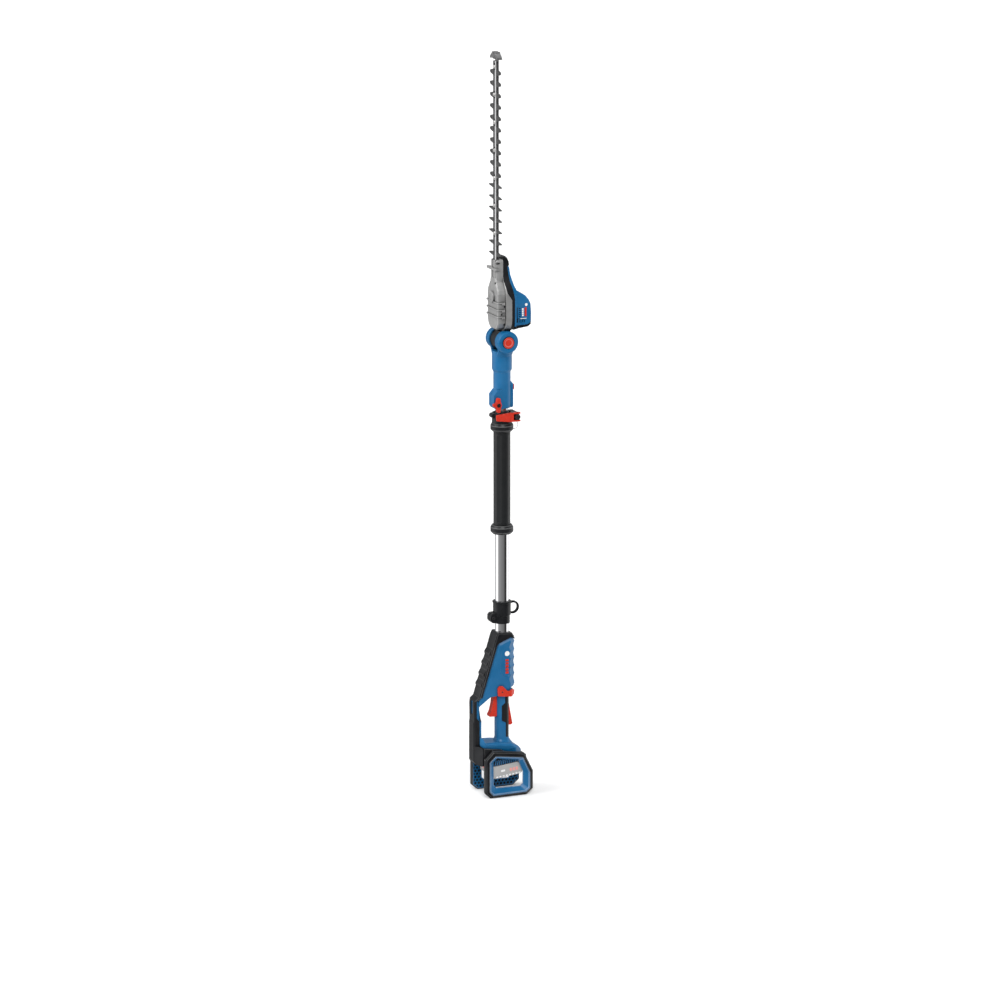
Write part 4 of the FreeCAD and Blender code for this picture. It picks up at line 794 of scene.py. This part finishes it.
def gear_case():
    """Cast cover: a broad flange, a narrower domed front with ribs and a boss, and a neck with two ridges."""
    flange = slab(CASE_BODY, [(-5, 1.2), (-4, 0), (CASE_PART, 0)], "X", 5)
    front = slab(CASE_BODY, [(-25, 8.5), (-24, 6.8), (-21.5, 5.6), (-14, 5), (0, 4.6)], "X", 7)
    neck = slab(oblong((-NECK_HALF, NECK_HALF), (1290, CASE_TOP)),
                [(-22.5, 6), (-21, 3.5), (-17, 1.2), (-12, 0), (0, 0)], "X", 6)
    shoulder = slab([(-30, 1285), (30, 1285), (19, 1318), (-19, 1318)], [(-20, 3), (-16, 0), (0, 0)], "X", 4)
    ridges = [slab([(y - 3.2, 1284), (y + 3.2, 1284), (y + 2.4, 1373), (y - 2.4, 1373)],
                   [(-24.6, 1.6), (-23.4, 0), (-15, 0)], "X", 1) for y in (-9.5, 9.5)]
    boss = lathe([(14.5, 5), (14, -4.4), (12.2, -6.6), (8.5, -7.2), (8, -4.4), (0, -4.2)], (-25, 0, 1279), "X")
    rib = [(-28, -30), (-25, -37), (-12, -39.5), (-8, -39.5), (-8, 39.5), (-12, 39.5), (-25, 38), (-28, 33)]
    ribs = [slab(rib, [(z - 1.7, 0.6), (z - 1.2, 0), (z + 1.2, 0), (z + 1.7, 0.6)], "Z", 3) for z in RIBS]
    posts = [box((-16, -8), tuple(sorted((side * 36, side * 40))), (z - 4.5, z + 1.6))
             for z in RIBS for side in (-1, 1)]
    lug = slab([(-26, -19.5), (-11, -19.5), (-11, 17), (-20, 37), (-26, 37)],
               [(1345.6, 0.6), (1346.4, 0), (1351, 0), (1352, 0.8)], "Z", 1.5)
    holes = [lathe([(2.9, -30), (2.9, -9)], (0, side * y, z), "X") for y, z in FRONT_SCREWS for side in (-1, 1)]
    holes.append(lathe([(2.4, -45), (2.4, -32)], (-15.5, 0, 1239), "Y"))
    body = carved("UNION", flange, front, neck, shoulder, boss, *ridges, *ribs, *posts, lug)
    body = carved("INTERSECT", body, slab(CASE_SIDE, [(-60, 0), (60, 0)]))
    slot = box((-19.8, -11.6), (-10.6, 10.6), (1300, CASE_TOP + 10))
    return carved("DIFFERENCE", body, slot, *holes)


def sunk_screws():
    """Black socket screws deep in the gear case."""
    profile = [(2.8, -9), (2.8, -7.4), (1.7, -7.4), (1.7, -3)]
    return merged(*[lathe(profile, (0, side * y, z), "X", 24)
                    for y, z in FRONT_SCREWS + RIM_SCREWS for side in (-1, 1)])


rounded_edges(add_piece("gear_case_moulding", gear_case(), "head", "cast_aluminium", "gear_case"), 0.8)
add_piece("case_screws_sunk", sunk_screws(), "head", "black_screws", "case_screws")


COVER_HALF = 30.5
# how far the plates stand out: the black ones, painted shade for the openings, and the pale ones
SHADE_PLATE_OUT, PALE_OUT = 0.12, 0.15


def cover_patch(side, x, z, out):
    """A thin plate set into the motor cover's flank."""
    levels = [(side * (COVER_HALF - 1.5), 0), (side * (COVER_HALF + out), 0)]
    return slab(oblong(x, z), levels, "Y", 0.5)


def cover_marks(side):
    """Black plates as painted shade where the slot and louvres open, blank badge with plain pale bars, and a red
    bar.
    """
    louvres = [cover_patch(side, (32.5, 37.5), (z, z + 2.2), SHADE_PLATE_OUT) for z in (1229, 1234, 1239, 1244, 1249)]
    dark = merged(cover_patch(side, (26.0, 29.4), (1215, 1253), SHADE_PLATE_OUT), *louvres)
    disc = [(3.6, side * (COVER_HALF - 1.5)), (3.6, side * (COVER_HALF + PALE_OUT))]
    badge = lathe(disc, (52.5, 0, 1258.6), "Y")
    blocks = [cover_patch(side, (41, 45.5), (z, z + 4.2), PALE_OUT) for z in (1230, 1235.2, 1240.4, 1245.6)]
    pale = merged(badge, *blocks, cover_patch(side, (36, 53), (1223.4, 1225.0), PALE_OUT))
    red = cover_patch(side, (48.4, 53.4), (1229.5, 1252), PALE_OUT)
    return dark, pale, red


for side, name in SIDES:
    dark, pale, red = cover_marks(side)
    add_piece("cover_louvre_shade_" + name, dark, "head", "black_plastic")
    whitened(add_piece("cover_badge_" + name, pale, "head", "pale_plastic"))
    add_piece("cover_bar_" + name, red, "head", "red_plastic")


# ---------------------------------------------------------------- elbow and knob
ELBOW, KNOB = (0, 0, 1168.0), (-21.6, 0, 1009.0)
EAR_CAP_R = 27.7
for side, name in SIDES:
    ring = [(15.4, side * 40), (15.4, side * 41.6), (16.2, side * 42.4), (22.5, side * 43.4), (25.3, side * 42.6),
            (EAR_CAP_R, side * 39), (EAR_CAP_R, side * 33), (20, side * 33)]
    add_piece("ear_cap_" + name, lathe(ring, ELBOW, "Y", 64, closed=True), "coupler", "blue_plastic")
# a black ring round the elbow button: painted shade of the gap around it
button_gap_shade = lathe([(14.3, -40.5), (14.3, -42.2), (15.6, -42.2), (15.6, -40.5)], ELBOW, "Y", 64, closed=True)
add_piece("button_gap_shade", button_gap_shade, "coupler", "black_plastic")
knob_cap = lathe([(5.2, -31), (5.2, -33.4), (4.4, -34)], KNOB, "Y", 32)
add_piece("knob_cap", knob_cap, "wing_knob", "black_plastic")
release_cap = box((22, 30.4), (-6.5, 6.5), (1041.5, 1054.5))
rounded_edges(add_piece("release_cap", release_cap, "coupling_button", "red_plastic"), 1.2)


# ---------------------------------------------------------------- pads on the spine cover
PADS, PADS_TOP, PAD_PITCH, PAD_HEIGHT, PAD_WIDE = 5, 386.0, 26.5, 23, 5.0
SPINE_HALF, SPINE_X, SPINE_TOP, SPINE_SLOPE = 22.5, -20.6, 412.0, 0.303


def spine_pads():
    """Raised shingles across both flanks of the spine, each thickest at its lower end."""
    pads = []
    for i in range(PADS):
        top = PADS_TOP - PAD_PITCH * i
        low = top - PAD_HEIGHT
        for side in (-1, 1):
            rings = []
            for z, out in ((top, 0.1), (low + 2.5, 1.3), (low, 0.9), (low - 0.4, -1.0)):
                x = SPINE_X - SPINE_SLOPE * (SPINE_TOP - z)
                face, root = side * (SPINE_HALF + out), side * 20
                rings.append([(x, face, z), (x + PAD_WIDE, face, z), (x + PAD_WIDE, root, z), (x, root, z)])
            pads.append(through(rings))
    return merged(*pads)


rounded_edges(add_piece("spine_pads", spine_pads(), "handle", "black_plastic"), 0.5)
add_piece("column_inlay", box((-80.5, -74), (-4.9, 4.9), (212, 247)), "handle", "blue_plastic")


# ---------------------------------------------------------------- studio
LAMP_AIM, LAMP_AWAY = Vector((0, 0, 1.0)), 4.0
# upright bands of the surround: how far round the tool, and the grey there
SURROUND = [(0.0, 0.36), (0.14, 0.17), (0.19, 1.0), (0.28, 1.0), (0.34, 0.24), (0.46, 0.17), (0.58, 0.12),
            (0.66, 0.02), (0.72, 0.02), (0.75, 1.0), (0.86, 1.0), (0.92, 0.32), (1.0, 0.36)]


def lay_floor():
    """Wide pale floor that stays out of the tool's reflections."""
    bm = bmesh.new()
    bmesh.ops.create_grid(bm, x_segments=2, y_segments=2, size=60)
    mesh = bpy.data.meshes.new("floor")
    bm.to_mesh(mesh)
    bm.free()
    floor = bpy.data.objects.new("floor", mesh)
    bpy.context.scene.collection.objects.link(floor)
    n = Nodes("studio_floor")
    n.link(n.mixed(n.noise(900, 2), (0.93, 0.93, 0.93), (0.95, 0.95, 0.95)), n.shader.inputs["Base Color"])
    n.set(Roughness=0.9, Specular_IOR_Level=0.1)
    mesh.materials.append(n.material)
    floor.visible_glossy = False


def surround():
    """Light from all round, in soft upright bands: two bright strips, a dark one and greys between them."""
    world = bpy.data.worlds.new("surround")
    bpy.context.scene.world = world
    world.use_nodes = True
    tree = world.node_tree
    background = tree.nodes["Background"]
    coords = tree.nodes.new("ShaderNodeTexCoord")
    mapping = tree.nodes.new("ShaderNodeMapping")
    mapping.inputs["Rotation"].default_value = (0, 0, math.pi / 2 - AZIMUTH)
    tree.links.new(coords.outputs["Generated"], mapping.inputs["Vector"])
    round_z = tree.nodes.new("ShaderNodeTexGradient")
    round_z.gradient_type = "RADIAL"
    tree.links.new(mapping.outputs["Vector"], round_z.inputs["Vector"])
    ramp = tree.nodes.new("ShaderNodeValToRGB")
    while len(ramp.color_ramp.elements) < len(SURROUND):
        ramp.color_ramp.elements.new(0.5)
    for element, (position, grey) in zip(ramp.color_ramp.elements, SURROUND):
        element.position = position
        element.color = (grey, grey, grey, 1)
    tree.links.new(round_z.outputs["Fac"], ramp.inputs["Fac"])
    tree.links.new(ramp.outputs["Color"], background.inputs["Color"])
    background.inputs["Strength"].default_value = 1.5


def lamp(name, energy, direction, spread_degrees):
    """A broad sun that shines from a direction."""
    data = bpy.data.lights.new(name, "SUN")
    data.energy = energy
    data.angle = math.radians(spread_degrees)
    light = bpy.data.objects.new(name, data)
    bpy.context.scene.collection.objects.link(light)
    towards = Vector(direction).normalized()
    turned = towards.to_track_quat("Z", "Y").to_matrix().to_4x4()
    light.matrix_world = Matrix.Translation(LAMP_AIM + towards * LAMP_AWAY) @ turned


lay_floor()
surround()
lamp("key", 2.2, (-0.35, -1.2, 1.1), 30)
lamp("fill", 1.4, (-1.3, 0.1, 0.9), 40)
